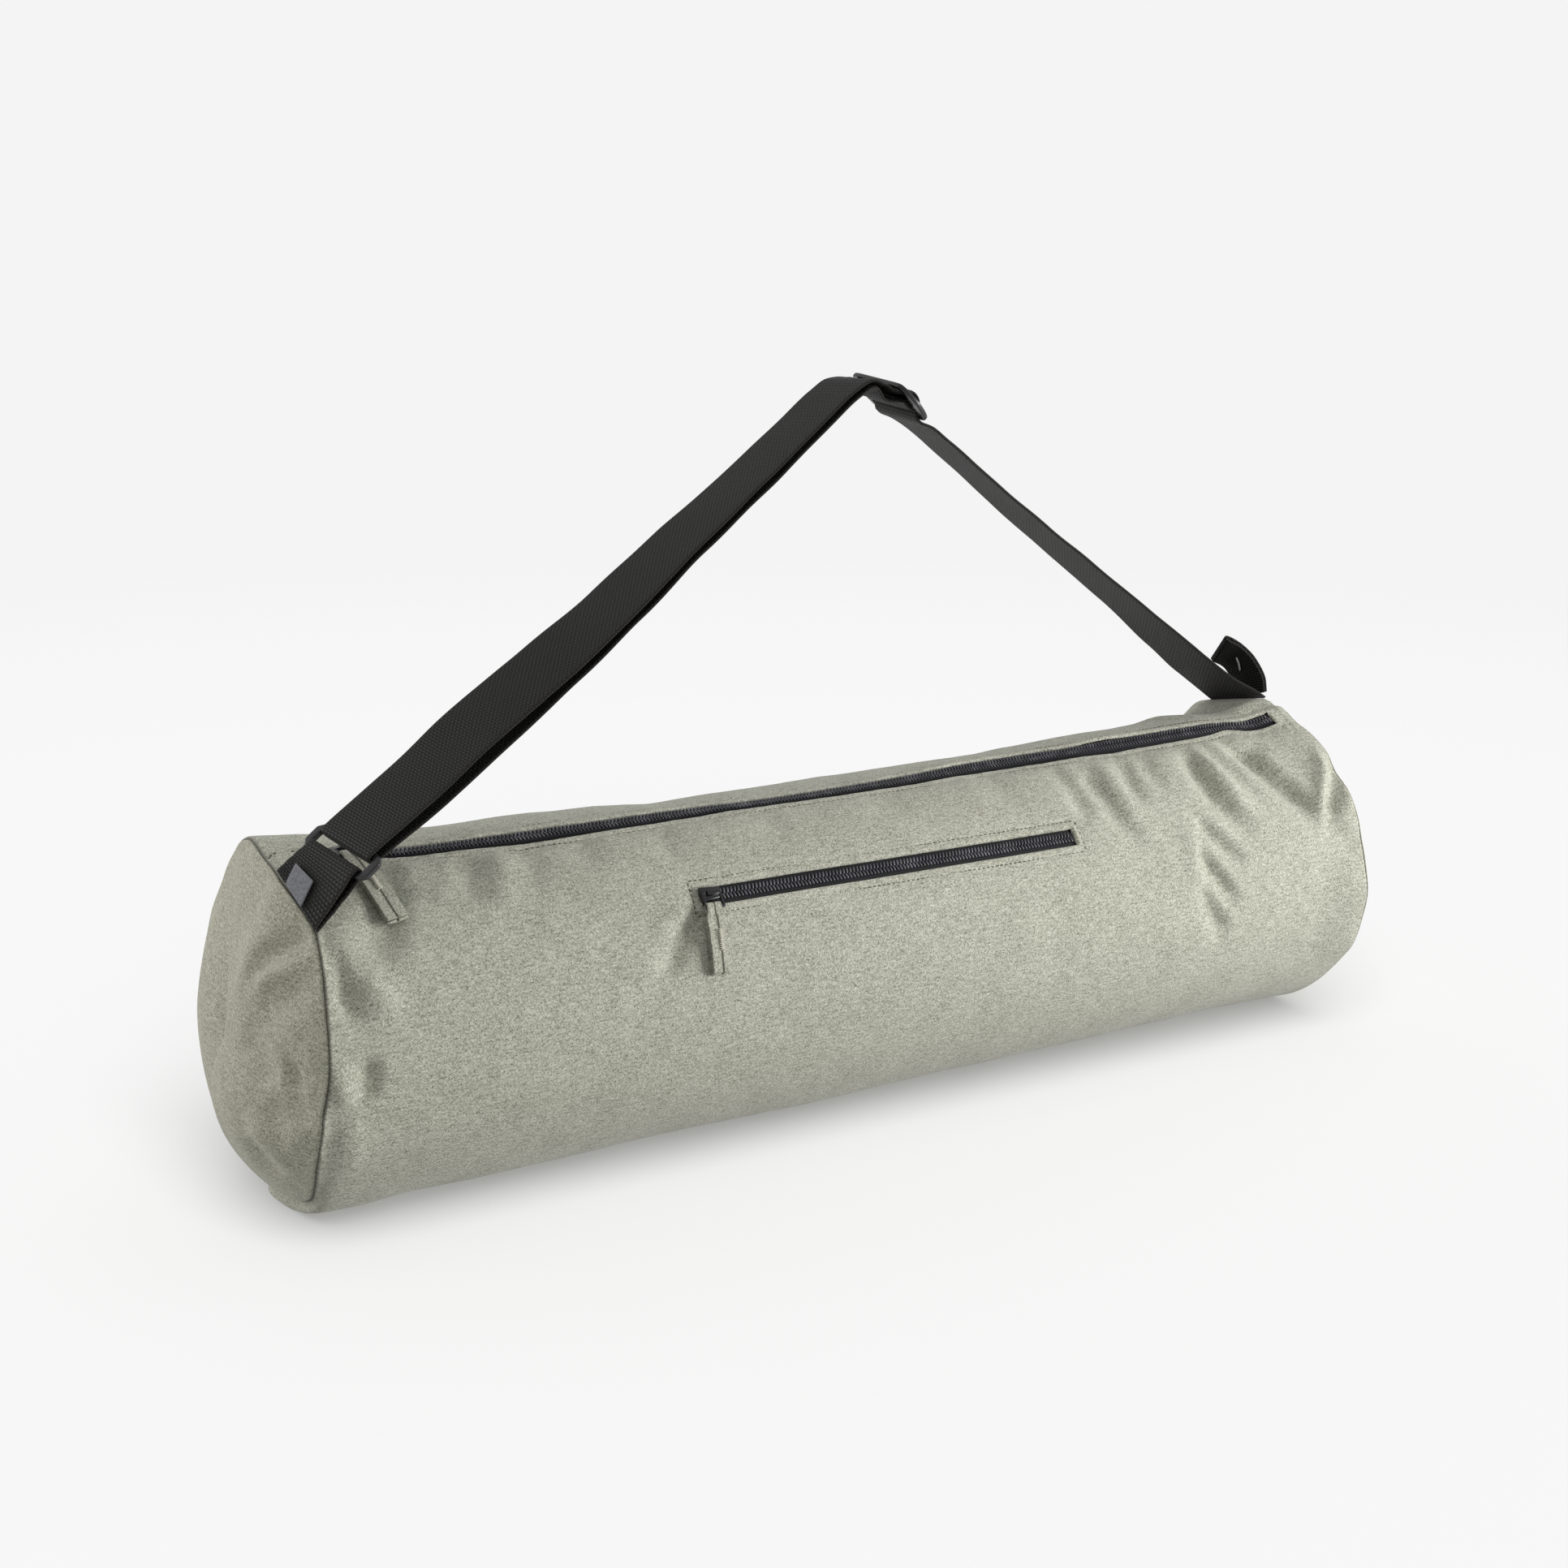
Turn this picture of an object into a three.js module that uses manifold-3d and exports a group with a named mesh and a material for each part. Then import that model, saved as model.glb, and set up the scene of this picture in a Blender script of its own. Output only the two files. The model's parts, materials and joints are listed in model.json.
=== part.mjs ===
// A soft tube bag for a rolled yoga mat, lying on its side with its shoulder strap standing up.
// Row frame: +X along the bag to its right end, -Y the front with the pocket, +Z up, floor at z = 0.
// "along" runs from -1 at the left seam to 1 at the right seam.
// "turn" is an angle in degrees round the tube, from the top towards the front.
import * as THREE from 'three';
import { mergeVertices } from 'three/addons/utils/BufferGeometryUtils.js';
import Module from 'manifold-3d';

const wasm = await Module();
wasm.setup();

// Sizes of the cloth body, in millimetres
const bodyDiameter = 170;
const bodyLength = 612;
const clothWall = 1.5;
const restHalfWidth = 14;
const capBulge = 22;
const fitGap = 0.3;

// Sizes of the main zip, which runs along the top
const zipStart = -0.906;
const zipEnd = 0.98;
const zipWindow = 10;
const zipLap = 5;
const lapSink = 0.4;
const tapeThick = 0.8;
const coilWidth = 5.4;
const coilHeight = 1.8;

// Sizes of the front pocket's zip
const pocketLength = 229;
const pocketWindow = 12;
const pocketMiddle = 1;
const pocketTurn = 52;
const pocketSliderInset = 7;

// Sizes of the zip sliders and their folded cloth pulls
const sliderLength = 11;
const sliderWidth = 8;
const sliderHeight = 2.2;
const bailWidth = 9;
const bailWire = 1.6;
const bailHeight = 1.2;
const bailHole = 2.4;
const pullCloth = 0.8;
const pullWidth = 11;
const pullNeck = 5.4;
const pullStandOff = 1.3;
const mainPullLength = 36;
const pocketPullLength = 33;
const mainPullLean = 0.2;

// Sizes of the webbing and of the hard loops that it runs through
const webbingWidth = 40;
const webbingThick = 1.6;
const strapRise = 194;
const tabLength = 21;
const tabRise = 37;
const tabTurn = 28.4;
const hardwareSlot = 41.6;
const barWidth = 3.2;
const barThick = 2.6;
const ringBarPitch = 11.7;
const sliderBarPitch = 11.2;
const hardwareEnd = 6;
const strapEndTurn = -15;
const loopWidth = 25;
const labelWidth = 16;
const labelLength = 11;
const labelThick = 1;

// Worked out from the sizes
const bodyRadius = bodyDiameter / 2;
const halfLength = bodyLength / 2;
const axisHeight = Math.sqrt(bodyRadius ** 2 - restHalfWidth ** 2);
const restTurn = degrees(Math.asin(restHalfWidth / bodyRadius));
const coilTop = coilHeight - clothWall;
const wrapReach = fitGap + webbingThick / 2;
const layerPitch = webbingThick + fitGap;

// The line of the zip's coil over the top of the bag, and how wide the cloth opens beside it
const zipLine = [
  { along: -1, turn: 8, spread: 0.9 },
  { along: -0.87, turn: 8.6, spread: 1 },
  { along: -0.82, turn: 12.7, spread: 0.95 },
  { along: -0.72, turn: 15.3, spread: 0.72 },
  { along: -0.66, turn: 14.1, spread: 0.9 },
  { along: -0.52, turn: 11.5, spread: 1 },
  { along: -0.26, turn: 10.9, spread: 0.95 },
  { along: 0, turn: 7.8, spread: 0.85 },
  { along: 0.2, turn: 6.7, spread: 0.8 },
  { along: 0.5, turn: 4.3, spread: 0.8 },
  { along: 0.73, turn: 5.5, spread: 0.85 },
  { along: 0.84, turn: 7.3, spread: 0.9 },
  { along: 0.89, turn: 6.8, spread: 0.7 },
  { along: 1, turn: 4.6, spread: 0.85 },
];

// How far the seams are pulled along the bag, as shares of the body radius
const seamPull = [
  { turn: -180, left: -0.05 },
  { turn: -90, left: -0.03 },
  { turn: -16, left: -0.022 },
  { turn: -5, left: 0 },
  { turn: 17, left: 0 },
  { turn: 30, left: 0.03 },
  { turn: 40, left: 0.062 },
  { turn: 54, left: 0.045 },
  { turn: 66, left: 0.018 },
  { turn: 90, left: -0.022 },
  { turn: 118, left: -0.055 },
  { turn: 180, left: -0.05 },
];
const seamPullReach = 0.12;

// The zip's tape keeps the cloth beside it flat for this many degrees
const foldFreeTurn = 14;

// The sag and swell of the top line, as shares of the body radius
const crownTurn = -14;
const crownSpread = 30;
const crownLine = [
  { along: -1, rise: 0 },
  { along: -0.55, rise: 0 },
  { along: -0.31, rise: -0.042 },
  { along: -0.06, rise: -0.03 },
  { along: 0.28, rise: -0.012 },
  { along: 0.43, rise: 0.01 },
  { along: 0.66, rise: 0.036 },
  { along: 0.82, rise: 0.064 },
  { along: 1, rise: 0.07 },
];

// The cloth that the strap's right end pulls up into a pleat
const pleat = { from: -29, to: -1, edge: 6, rise: 0.055, start: 0.84 };

// Folds of the body cloth: lines from one place to another, depth and width as shares of the radius
const bodyFolds = [
  { fromAlong: 0.81, fromTurn: 13, toAlong: 0.84, toTurn: 34, depth: -0.035, width: 0.08 },
  { fromAlong: 0.84, fromTurn: 34, toAlong: 0.885, toTurn: 56, depth: -0.04, width: 0.08 },
  { fromAlong: 0.68, fromTurn: 18, toAlong: 0.7, toTurn: 40, depth: -0.03, width: 0.08 },
  { fromAlong: 0.7, fromTurn: 40, toAlong: 0.73, toTurn: 62, depth: -0.04, width: 0.08 },
  { fromAlong: 0.63, fromTurn: 54, toAlong: 0.69, toTurn: 82, depth: -0.04, width: 0.08 },
  { fromAlong: 0.61, fromTurn: 76, toAlong: 0.66, toTurn: 94, depth: -0.03, width: 0.07 },
  { fromAlong: 0.99, fromTurn: 36, toAlong: 0.92, toTurn: 61, depth: -0.04, width: 0.09 },
  { fromAlong: -0.967, fromTurn: 41, toAlong: -0.948, toTurn: 62, depth: 0.025, width: 0.05 },
  { fromAlong: -0.93, fromTurn: 42, toAlong: -0.915, toTurn: 58, depth: -0.04, width: 0.08 },
  { fromAlong: -0.95, fromTurn: 86, toAlong: -0.93, toTurn: 88, depth: -0.04, width: 0.08 },
  { fromAlong: -0.69, fromTurn: 24, toAlong: -0.66, toTurn: 34, depth: 0.03, width: 0.07 },
  { fromAlong: -0.73, fromTurn: 24, toAlong: -0.7, toTurn: 36, depth: -0.035, width: 0.08 },
  { fromAlong: -0.41, fromTurn: 56, toAlong: -0.47, toTurn: 74, depth: -0.035, width: 0.09 },
];

// Folds of the left cap: "reach" is a share of the way from the cap's middle to its seam
const capFolds = [
  { fromTurn: 45, fromReach: 0.95, toTurn: 30, toReach: 0.5, depth: -0.04, width: 0.1 },
  { fromTurn: 50, fromReach: 0.92, toTurn: 44, toReach: 0.55, depth: 0.025, width: 0.08 },
  { fromTurn: 86, fromReach: 0.82, toTurn: 90, toReach: 0.72, depth: -0.035, width: 0.12 },
  { fromTurn: 121, fromReach: 0.55, toTurn: 126, toReach: 0.9, depth: 0.02, width: 0.09 },
];

// The outer layer of the strap in its upright plane, from the ring to the buckle, with the
// return layer's distance below it as a share of the webbing's width
const leftLeg = [
  { span: 0.06, rise: 0.135, roll: -11, below: 0.16 },
  { span: 0.118, rise: 0.259, roll: -12, below: 0.17 },
  { span: 0.178, rise: 0.372, roll: -11, below: 0.12 },
  { span: 0.24, rise: 0.498, roll: -6, below: 0.092 },
  { span: 0.303, rise: 0.639, roll: -2, below: 0.09 },
  { span: 0.369, rise: 0.786, roll: 2, below: 0.09 },
  { span: 0.436, rise: 0.943, roll: 4, below: 0.09 },
  { span: 0.462, rise: 0.992, roll: 4, below: 0.09 },
  { span: 0.479, rise: 1.004, roll: 4, below: 0.09 },
];
const rightLeg = [
  { span: 0.572, rise: 0.855, roll: -4 },
  { span: 0.632, rise: 0.734, roll: -8 },
  { span: 0.693, rise: 0.609, roll: -6 },
  { span: 0.758, rise: 0.478, roll: -4 },
  { span: 0.827, rise: 0.34, roll: -2 },
  { span: 0.898, rise: 0.192, roll: 3 },
  { span: 0.945, rise: 0.096, roll: 6 },
];

// Where the buckle lies on the strap, and how it leans
const buckle = { span: 0.521, rise: 0.972, tilt: -48, roll: 4, skew: 6 };

// The carrying loop's middle line from the right seam to its tip, as shares of its width
const loopLine = [
  { left: 0, back: 0, up: 0, roll: 14 },
  { left: 0.04, back: 0.02, up: 0.32, roll: 18 },
  { left: 0.26, back: 0.06, up: 0.74, roll: 28 },
  { left: 0.64, back: 0.1, up: 1.1, roll: 38 },
  { left: 1, back: 0.14, up: 1.3, roll: 42 },
];

const materials = {
  cloth: finish(0xa3a28d, 0.9),
  webbing: finish(0x1d1c1b, 0.8),
  zipTape: finish(0x26262a, 0.85),
  zipCoil: finish(0x303036, 0.5),
  hardware: finish(0x35363a, 0.35),
  gloss: finish(0x16161a, 0.2),
  label: finish(0x8c8c90, 0.85),
};

const bag = new THREE.Group();

function finish(color, roughness) {
  return new THREE.MeshStandardMaterial({ color, roughness, metalness: 0 });
}

function degrees(angle) {
  return THREE.MathUtils.radToDeg(angle);
}

function radians(angle) {
  return THREE.MathUtils.degToRad(angle);
}

function mix(a, b, share) {
  return a + (b - a) * share;
}

function blend(a, b, share) {
  return a.clone().lerp(b, share);
}

// Reads a column of a table at a value of its key column, straight between rows
function read(table, key, column, at) {
  if (at <= table[0][key]) {
    return table[0][column];
  }
  for (let row = 1; row < table.length; row += 1) {
    const before = table[row - 1];
    const after = table[row];
    if (at <= after[key]) {
      return mix(before[column], after[column], (at - before[key]) / (after[key] - before[key]));
    }
  }
  return table[table.length - 1][column];
}

function foldHeight(here, from, to, fold) {
  const run = to.clone().sub(from);
  const share = THREE.MathUtils.clamp(here.clone().sub(from).dot(run) / run.lengthSq(), 0, 1);
  const away = here.distanceTo(from.clone().addScaledVector(run, share)) / (fold.width * bodyRadius);
  return fold.depth * bodyRadius * Math.exp(-(away ** 2));
}

function unrolled(along, turn) {
  return new THREE.Vector2(along * halfLength, radians(turn) * bodyRadius);
}

// How far the cloth stands proud of the plain tube
function clothLift(along, turn) {
  const near = turn > 180 ? turn - 360 : turn;
  const crown = Math.exp(-(((near - crownTurn) / crownSpread) ** 2));
  const rising = THREE.MathUtils.smoothstep(along, pleat.start, 1);
  const inside = THREE.MathUtils.smoothstep(near, pleat.from - pleat.edge, pleat.from)
    - THREE.MathUtils.smoothstep(near, pleat.to, pleat.to + pleat.edge);
  const plain = read(crownLine, 'along', 'rise', along) * crown + pleat.rise * rising * inside;
  const here = unrolled(along, near);
  let folded = 0;
  for (const fold of bodyFolds) {
    const from = unrolled(fold.fromAlong, fold.fromTurn);
    const to = unrolled(fold.toAlong, fold.toTurn);
    folded += foldHeight(here, from, to, fold);
  }
  const fromZip = Math.abs(near - zipTurn(along)) - zipHalfTurn(along);
  return plain * bodyRadius + folded * THREE.MathUtils.smoothstep(fromZip, 0, foldFreeTurn);
}

// A point of the body's outer face, or at a depth below it
function bodyPoint(along, turn, depth = 0) {
  const near = turn > 180 ? turn - 360 : turn;
  const reach = bodyRadius + clothLift(along, turn) - depth;
  const pulled = THREE.MathUtils.smoothstep(-along, 1 - seamPullReach, 1);
  const x = along * (halfLength - fitGap / 2)
    + pulled * read(seamPull, 'turn', 'left', near) * bodyRadius;
  const y = -reach * Math.sin(radians(turn));
  const z = Math.max(axisHeight + reach * Math.cos(radians(turn)), depth);
  return new THREE.Vector3(x, y, z);
}

function zipTurn(along) {
  return read(zipLine, 'along', 'turn', along);
}

function zipHalfTurn(along) {
  return degrees(zipWindow * read(zipLine, 'along', 'spread', along) / 2 / bodyRadius);
}

// Lines across a stretch: each stop is cut into its cells from the stop before it
function lines(start, stops) {
  const found = [start];
  for (const stop of stops) {
    const from = found[found.length - 1];
    for (let cell = 1; cell <= stop.cells; cell += 1) {
      found.push(mix(from, stop.to, cell / stop.cells));
    }
  }
  return found;
}

// The grid of the body cloth: lines along the bag, and lines round it that follow the zip
const pocketFrom = (pocketMiddle - pocketLength / 2) / halfLength;
const pocketTo = (pocketMiddle + pocketLength / 2) / halfLength;
const pocketHalfTurn = degrees(pocketWindow / 2 / bodyRadius);
const alongStops = [
  { to: zipStart, cells: 3 },
  { to: -0.6, cells: 10 },
  { to: pocketFrom, cells: 4 },
  { to: pocketTo, cells: 8 },
  { to: 0.58, cells: 3 },
  { to: zipEnd, cells: 13 },
  { to: 1, cells: 1 },
];
const alongLines = lines(-1, alongStops);
const zipFirstRow = alongStops[0].cells;
const zipLastRow = alongLines.length - 2;
const pocketFirstRow = alongStops[0].cells + alongStops[1].cells + alongStops[2].cells;
const pocketLastRow = pocketFirstRow + alongStops[3].cells;

function turnStops(along) {
  return [
    { to: pocketTurn - pocketHalfTurn, cells: 6 },
    { to: pocketTurn + pocketHalfTurn, cells: 1 },
    { to: 97, cells: 6 },
    { to: 180 - restTurn, cells: 5 },
    { to: 180 + restTurn, cells: 1 },
    { to: 300, cells: 7 },
    { to: 360 + zipTurn(along) - zipHalfTurn(along), cells: 6 },
  ];
}

function turnLines(along) {
  return lines(zipTurn(along) + zipHalfTurn(along), turnStops(along));
}

const turnGrid = alongLines.map(turnLines);
const turnCount = turnGrid[0].length;
const pocketColumn = turnStops(0)[0].cells;
const zipColumn = turnCount - 1;

// A point of the body's grid, also between its lines; columns go on round past the zip
function gridPoint(row, column, depth) {
  const corner = (r, c) => bodyPoint(alongLines[r], turnGrid[r][c % turnCount], depth);
  const row0 = Math.min(Math.floor(row), alongLines.length - 2);
  const column0 = Math.floor(column);
  const low = blend(corner(row0, column0), corner(row0 + 1, column0), row - row0);
  const high = blend(corner(row0, column0 + 1), corner(row0 + 1, column0 + 1), row - row0);
  return blend(low, high, column - column0);
}

// A closed mesh from a list of flat polygons, turned so that its faces point out
function closedGeometry(polygons) {
  const corners = [];
  let volume = 0;
  for (const polygon of polygons) {
    for (let corner = 2; corner < polygon.length; corner += 1) {
      const face = [polygon[0], polygon[corner - 1], polygon[corner]];
      volume += face[0].dot(face[1].clone().cross(face[2]));
      corners.push(face);
    }
  }
  const outward = volume < 0 ? corners.map((face) => face.slice().reverse()) : corners;
  const geometry = new THREE.BufferGeometry().setFromPoints(outward.flat());
  geometry.computeVertexNormals();
  return geometry;
}

// A cloth shell between an outer and an inner grid of points, open where "keep" says so
function shellGeometry(outer, inner, wraps, keep = () => true) {
  const rows = outer.length - 1;
  const columns = wraps ? outer[0].length : outer[0].length - 1;
  const next = (column) => (column + 1) % outer[0].length;
  const kept = (row, column) => {
    const turned = wraps ? (column + columns) % columns : column;
    return row >= 0 && row < rows && turned >= 0 && turned < columns && keep(row, turned);
  };
  const polygons = [];
  for (let row = 0; row < rows; row += 1) {
    for (let column = 0; column < columns; column += 1) {
      if (!kept(row, column)) {
        continue;
      }
      const around = [
        { at: [row, column], to: [row + 1, column], beside: [row, column - 1] },
        { at: [row + 1, column], to: [row + 1, next(column)], beside: [row + 1, column] },
        { at: [row + 1, next(column)], to: [row, next(column)], beside: [row, column + 1] },
        { at: [row, next(column)], to: [row, column], beside: [row - 1, column] },
      ];
      polygons.push(around.map((side) => outer[side.at[0]][side.at[1]]));
      const [first, ...others] = around.map((side) => inner[side.at[0]][side.at[1]]);
      polygons.push([first, ...others.reverse()]);
      for (const side of around) {
        if (!kept(...side.beside)) {
          const [r0, c0] = side.at;
          const [r1, c1] = side.to;
          polygons.push([outer[r1][c1], outer[r0][c0], inner[r0][c0], inner[r1][c1]]);
        }
      }
    }
  }
  return closedGeometry(polygons);
}

// A strip of webbing or cloth along stations, each with a point, its direction across and a width
function ribbonGeometry(stations, thick, columns = 1) {
  const last = stations.length - 1;
  const rings = stations.map((station, index) => {
    const ahead = stations[Math.min(index + 1, last)].point;
    const behind = stations[Math.max(index - 1, 0)].point;
    const face = ahead.clone().sub(behind).cross(station.across).normalize();
    const layer = (offset) => lines(0.5, [{ to: -0.5, cells: columns }]).map((share) => (
      station.point.clone().addScaledVector(station.across, share * station.width)
        .addScaledVector(face, offset)
    ));
    return [...layer(thick / 2), ...layer(-thick / 2).reverse()];
  });
  const corners = rings[0].length;
  const polygons = [rings[0].slice().reverse(), rings[last]];
  for (let index = 0; index < last; index += 1) {
    for (let corner = 0; corner < corners; corner += 1) {
      const beyond = (corner + 1) % corners;
      const quad = [
        rings[index][corner], rings[index][beyond],
        rings[index + 1][beyond], rings[index + 1][corner],
      ];
      // The lower face is cut along the same diagonal as the upper one
      polygons.push(corner > columns && beyond > 0 ? [...quad.slice(1), quad[0]] : quad);
    }
  }
  return closedGeometry(polygons);
}

// Stations between two others, so that a twisted strip bends little by little
function between(from, to, count) {
  const found = [];
  for (let index = 1; index <= count; index += 1) {
    const share = index / (count + 1);
    found.push({
      point: blend(from.point, to.point, share),
      across: blend(from.across, to.across, share).normalize(),
      width: mix(from.width, to.width, share),
    });
  }
  return found;
}

function solidOf(geometry) {
  const bare = geometry.clone();
  bare.deleteAttribute('normal');
  bare.deleteAttribute('uv');
  const merged = mergeVertices(bare);
  return new wasm.Manifold(new wasm.Mesh({
    numProp: 3,
    vertProperties: new Float32Array(merged.attributes.position.array),
    triVerts: new Uint32Array(merged.index.array),
  }));
}

function geometryOf(solid) {
  const mesh = solid.getMesh();
  const geometry = new THREE.BufferGeometry();
  geometry.setAttribute('position', new THREE.BufferAttribute(mesh.vertProperties, 3));
  geometry.setIndex(new THREE.BufferAttribute(mesh.triVerts, 1));
  geometry.computeVertexNormals();
  return geometry;
}

function addPiece(name, geometry, material, frame) {
  const mesh = new THREE.Mesh(geometry, material);
  mesh.name = name;
  if (frame) {
    mesh.position.copy(frame.origin);
    mesh.quaternion.setFromRotationMatrix(new THREE.Matrix4().makeBasis(frame.x, frame.y, frame.z));
  }
  bag.add(mesh);
  return mesh;
}

// A flat plate with its slots, centred on its own origin
function plateGeometry(outline, slots, thick) {
  for (const slot of slots) {
    outline.holes.push(slot);
  }
  const settings = { depth: thick, bevelEnabled: false, curveSegments: 5 };
  return new THREE.ExtrudeGeometry(outline, settings).translate(0, 0, -thick / 2);
}

function rectanglePath(width, height, y) {
  const path = new THREE.Path();
  path.moveTo(-width / 2, y - height / 2);
  path.lineTo(width / 2, y - height / 2);
  path.lineTo(width / 2, y + height / 2);
  path.lineTo(-width / 2, y + height / 2);
  path.closePath();
  return path;
}

// The outline of a strap loop: straight bars with a crescent at each end
function crescentOutline(straight, height) {
  const outline = new THREE.Shape();
  const half = straight / 2;
  outline.moveTo(-half, -height / 2);
  outline.lineTo(half, -height / 2);
  outline.bezierCurveTo(
    half + hardwareEnd * 1.3, -height / 3, half + hardwareEnd * 1.3, height / 3, half, height / 2,
  );
  outline.lineTo(-half, height / 2);
  outline.bezierCurveTo(
    -half - hardwareEnd * 1.3, height / 3, -half - hardwareEnd * 1.3, -height / 3, -half, -height / 2,
  );
  return outline;
}

// The cloth tube, open at the main zip, the pocket zip and both ends
function bodyPanel() {
  const grid = (depth) => alongLines.map((along, row) => (
    turnGrid[row].map((turn) => bodyPoint(along, turn, depth))
  ));
  const keep = (row, column) => {
    const inZip = column === zipColumn && row >= zipFirstRow && row < zipLastRow;
    const inPocket = column === pocketColumn && row >= pocketFirstRow && row < pocketLastRow;
    return !inZip && !inPocket;
  };
  return shellGeometry(grid(0), grid(clothWall), true, keep);
}

// A domed end, whose rim lies against the end of the tube
function endCap(side) {
  const reaches = [0, 0.18, 0.36, 0.54, 0.7, 0.84, 0.94, 1];
  const turns = side < 0 ? turnGrid[0] : turnGrid[turnGrid.length - 1];
  const spot = (turn, reach) => new THREE.Vector2(-Math.sin(radians(turn)), Math.cos(radians(turn)))
    .multiplyScalar(reach * bodyRadius);
  const point = (turn, reach, depth) => {
    const rim = bodyPoint(side, turn);
    let dome = capBulge * (1 - reach ** 2.4);
    for (const fold of side < 0 ? capFolds : []) {
      const here = spot(turn, reach);
      dome += foldHeight(here, spot(fold.fromTurn, fold.fromReach), spot(fold.toTurn, fold.toReach), fold)
        * (1 - reach ** 6);
    }
    const pulled = (rim.x - side * (halfLength - fitGap / 2)) * reach ** 3;
    const x = side * (halfLength + fitGap / 2 + clothWall - depth + dome) + pulled;
    return new THREE.Vector3(x, rim.y * reach, axisHeight + (rim.z - axisHeight) * reach);
  };
  const grid = (depth) => reaches.map((reach) => turns.map((turn) => point(turn, reach, depth)));
  const outer = grid(0);
  const inner = grid(clothWall);
  const polygons = [];
  const count = turns.length;
  for (let column = 0; column < count; column += 1) {
    const beyond = (column + 1) % count;
    polygons.push([outer[0][0], outer[1][column], outer[1][beyond]]);
    polygons.push([inner[0][0], inner[1][beyond], inner[1][column]]);
    for (let ring = 1; ring < reaches.length - 1; ring += 1) {
      const far = ring + 1;
      polygons.push([outer[ring][column], outer[far][column], outer[far][beyond], outer[ring][beyond]]);
      polygons.push([inner[ring][column], inner[ring][beyond], inner[far][beyond], inner[far][column]]);
    }
    const rim = reaches.length - 1;
    polygons.push([outer[rim][column], inner[rim][column], inner[rim][beyond], outer[rim][beyond]]);
  }
  return closedGeometry(polygons);
}

// The rows of the grid that a zip covers, with a lap of tape past each end
function zipRows(first, last, lap) {
  const cellBefore = gridPoint(first, 0, 0).distanceTo(gridPoint(first - 1, 0, 0));
  const cellAfter = gridPoint(last, 0, 0).distanceTo(gridPoint(last + 1, 0, 0));
  const rows = [];
  if (lap > 0) {
    rows.push(first - lap / cellBefore);
  }
  for (let row = first; row <= last; row += 1) {
    rows.push(row);
  }
  if (lap > 0) {
    rows.push(last + lap / cellAfter);
  }
  return rows;
}

// The zip's tape, which laps under the cloth on both sides of the window
function zipTape(first, last, column) {
  const depth = clothWall + fitGap;
  const strip = (at) => zipRows(first, last, zipLap).map((row, index, rows) => {
    const before = gridPoint(row, column, 0).distanceTo(gridPoint(row, column - 1, 0));
    const after = gridPoint(row, column + 1, 0).distanceTo(gridPoint(row, column + 2, 0));
    const lapped = index === 0 || index === rows.length - 1;
    const places = [column - zipLap / before, column, column + 1, column + 1 + zipLap / after];
    return places.map((place, edge) => {
      const sunk = lapped || edge === 0 || edge === places.length - 1;
      return gridPoint(row, place, at + (sunk ? lapSink : 0));
    });
  });
  return shellGeometry(strip(depth), strip(depth + tapeThick), false);
}

// The zip's closed row of teeth, a low bar with sloped sides on the tape
function zipCoil(first, last, column) {
  const strip = (depths) => zipRows(first, last, 0).map((row) => {
    const window = gridPoint(row, column, 0).distanceTo(gridPoint(row, column + 1, 0));
    const places = [-0.5, -0.3, 0.3, 0.5].map((share) => column + 0.5 + share * coilWidth / window);
    return places.map((place, index) => gridPoint(row, place, depths[index]));
  });
  const sideDepth = clothWall - coilHeight / 2;
  const outer = strip([sideDepth, -coilTop, -coilTop, sideDepth]);
  const inner = strip([clothWall, clothWall, clothWall, clothWall]);
  return shellGeometry(outer, inner, false);
}

// The place on the body where a zip slider sits: x along the zip, y down the front, z outwards
function frameOn(along, turn) {
  const down = new THREE.Vector3(0, -Math.cos(radians(turn)), -Math.sin(radians(turn)));
  const x = new THREE.Vector3(-1, 0, 0);
  return { origin: bodyPoint(along, turn), x, y: down, z: x.clone().cross(down) };
}

// A zip slider with a flat bail that reaches over its lower edge
const bailReach = sliderWidth / 2 + bailHole + bailWire;
const bailBottom = coilTop + fitGap + sliderHeight - bailHeight;

function zipSlider() {
  const shoe = new THREE.Shape();
  shoe.moveTo(-sliderLength / 2, -sliderWidth / 3);
  shoe.lineTo(sliderLength / 4, -sliderWidth / 2);
  shoe.lineTo(sliderLength / 2, -sliderWidth / 3);
  shoe.lineTo(sliderLength / 2, sliderWidth / 3);
  shoe.lineTo(sliderLength / 4, sliderWidth / 2);
  shoe.lineTo(-sliderLength / 2, sliderWidth / 3);
  shoe.closePath();
  const settings = { depth: sliderHeight, bevelEnabled: false };
  const plate = new THREE.ExtrudeGeometry(shoe, settings).translate(0, 0, coilTop + fitGap);
  const bail = new THREE.Shape();
  bail.moveTo(-bailWidth / 2, 0);
  bail.lineTo(bailWidth / 2, 0);
  bail.lineTo(bailWidth / 2, bailReach - bailWire);
  bail.lineTo(bailWidth / 2 - bailWire, bailReach);
  bail.lineTo(-bailWidth / 2 + bailWire, bailReach);
  bail.lineTo(-bailWidth / 2, bailReach - bailWire);
  bail.closePath();
  const holeWidth = bailWidth - 2 * bailWire;
  bail.holes.push(rectanglePath(holeWidth, bailHole, sliderWidth / 2 + bailHole / 2));
  const ring = new THREE.ExtrudeGeometry(bail, { depth: bailHeight, bevelEnabled: false });
  ring.translate(0, 0, bailBottom + bailHeight / 4);
  return geometryOf(solidOf(plate).add(solidOf(ring)));
}

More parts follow.
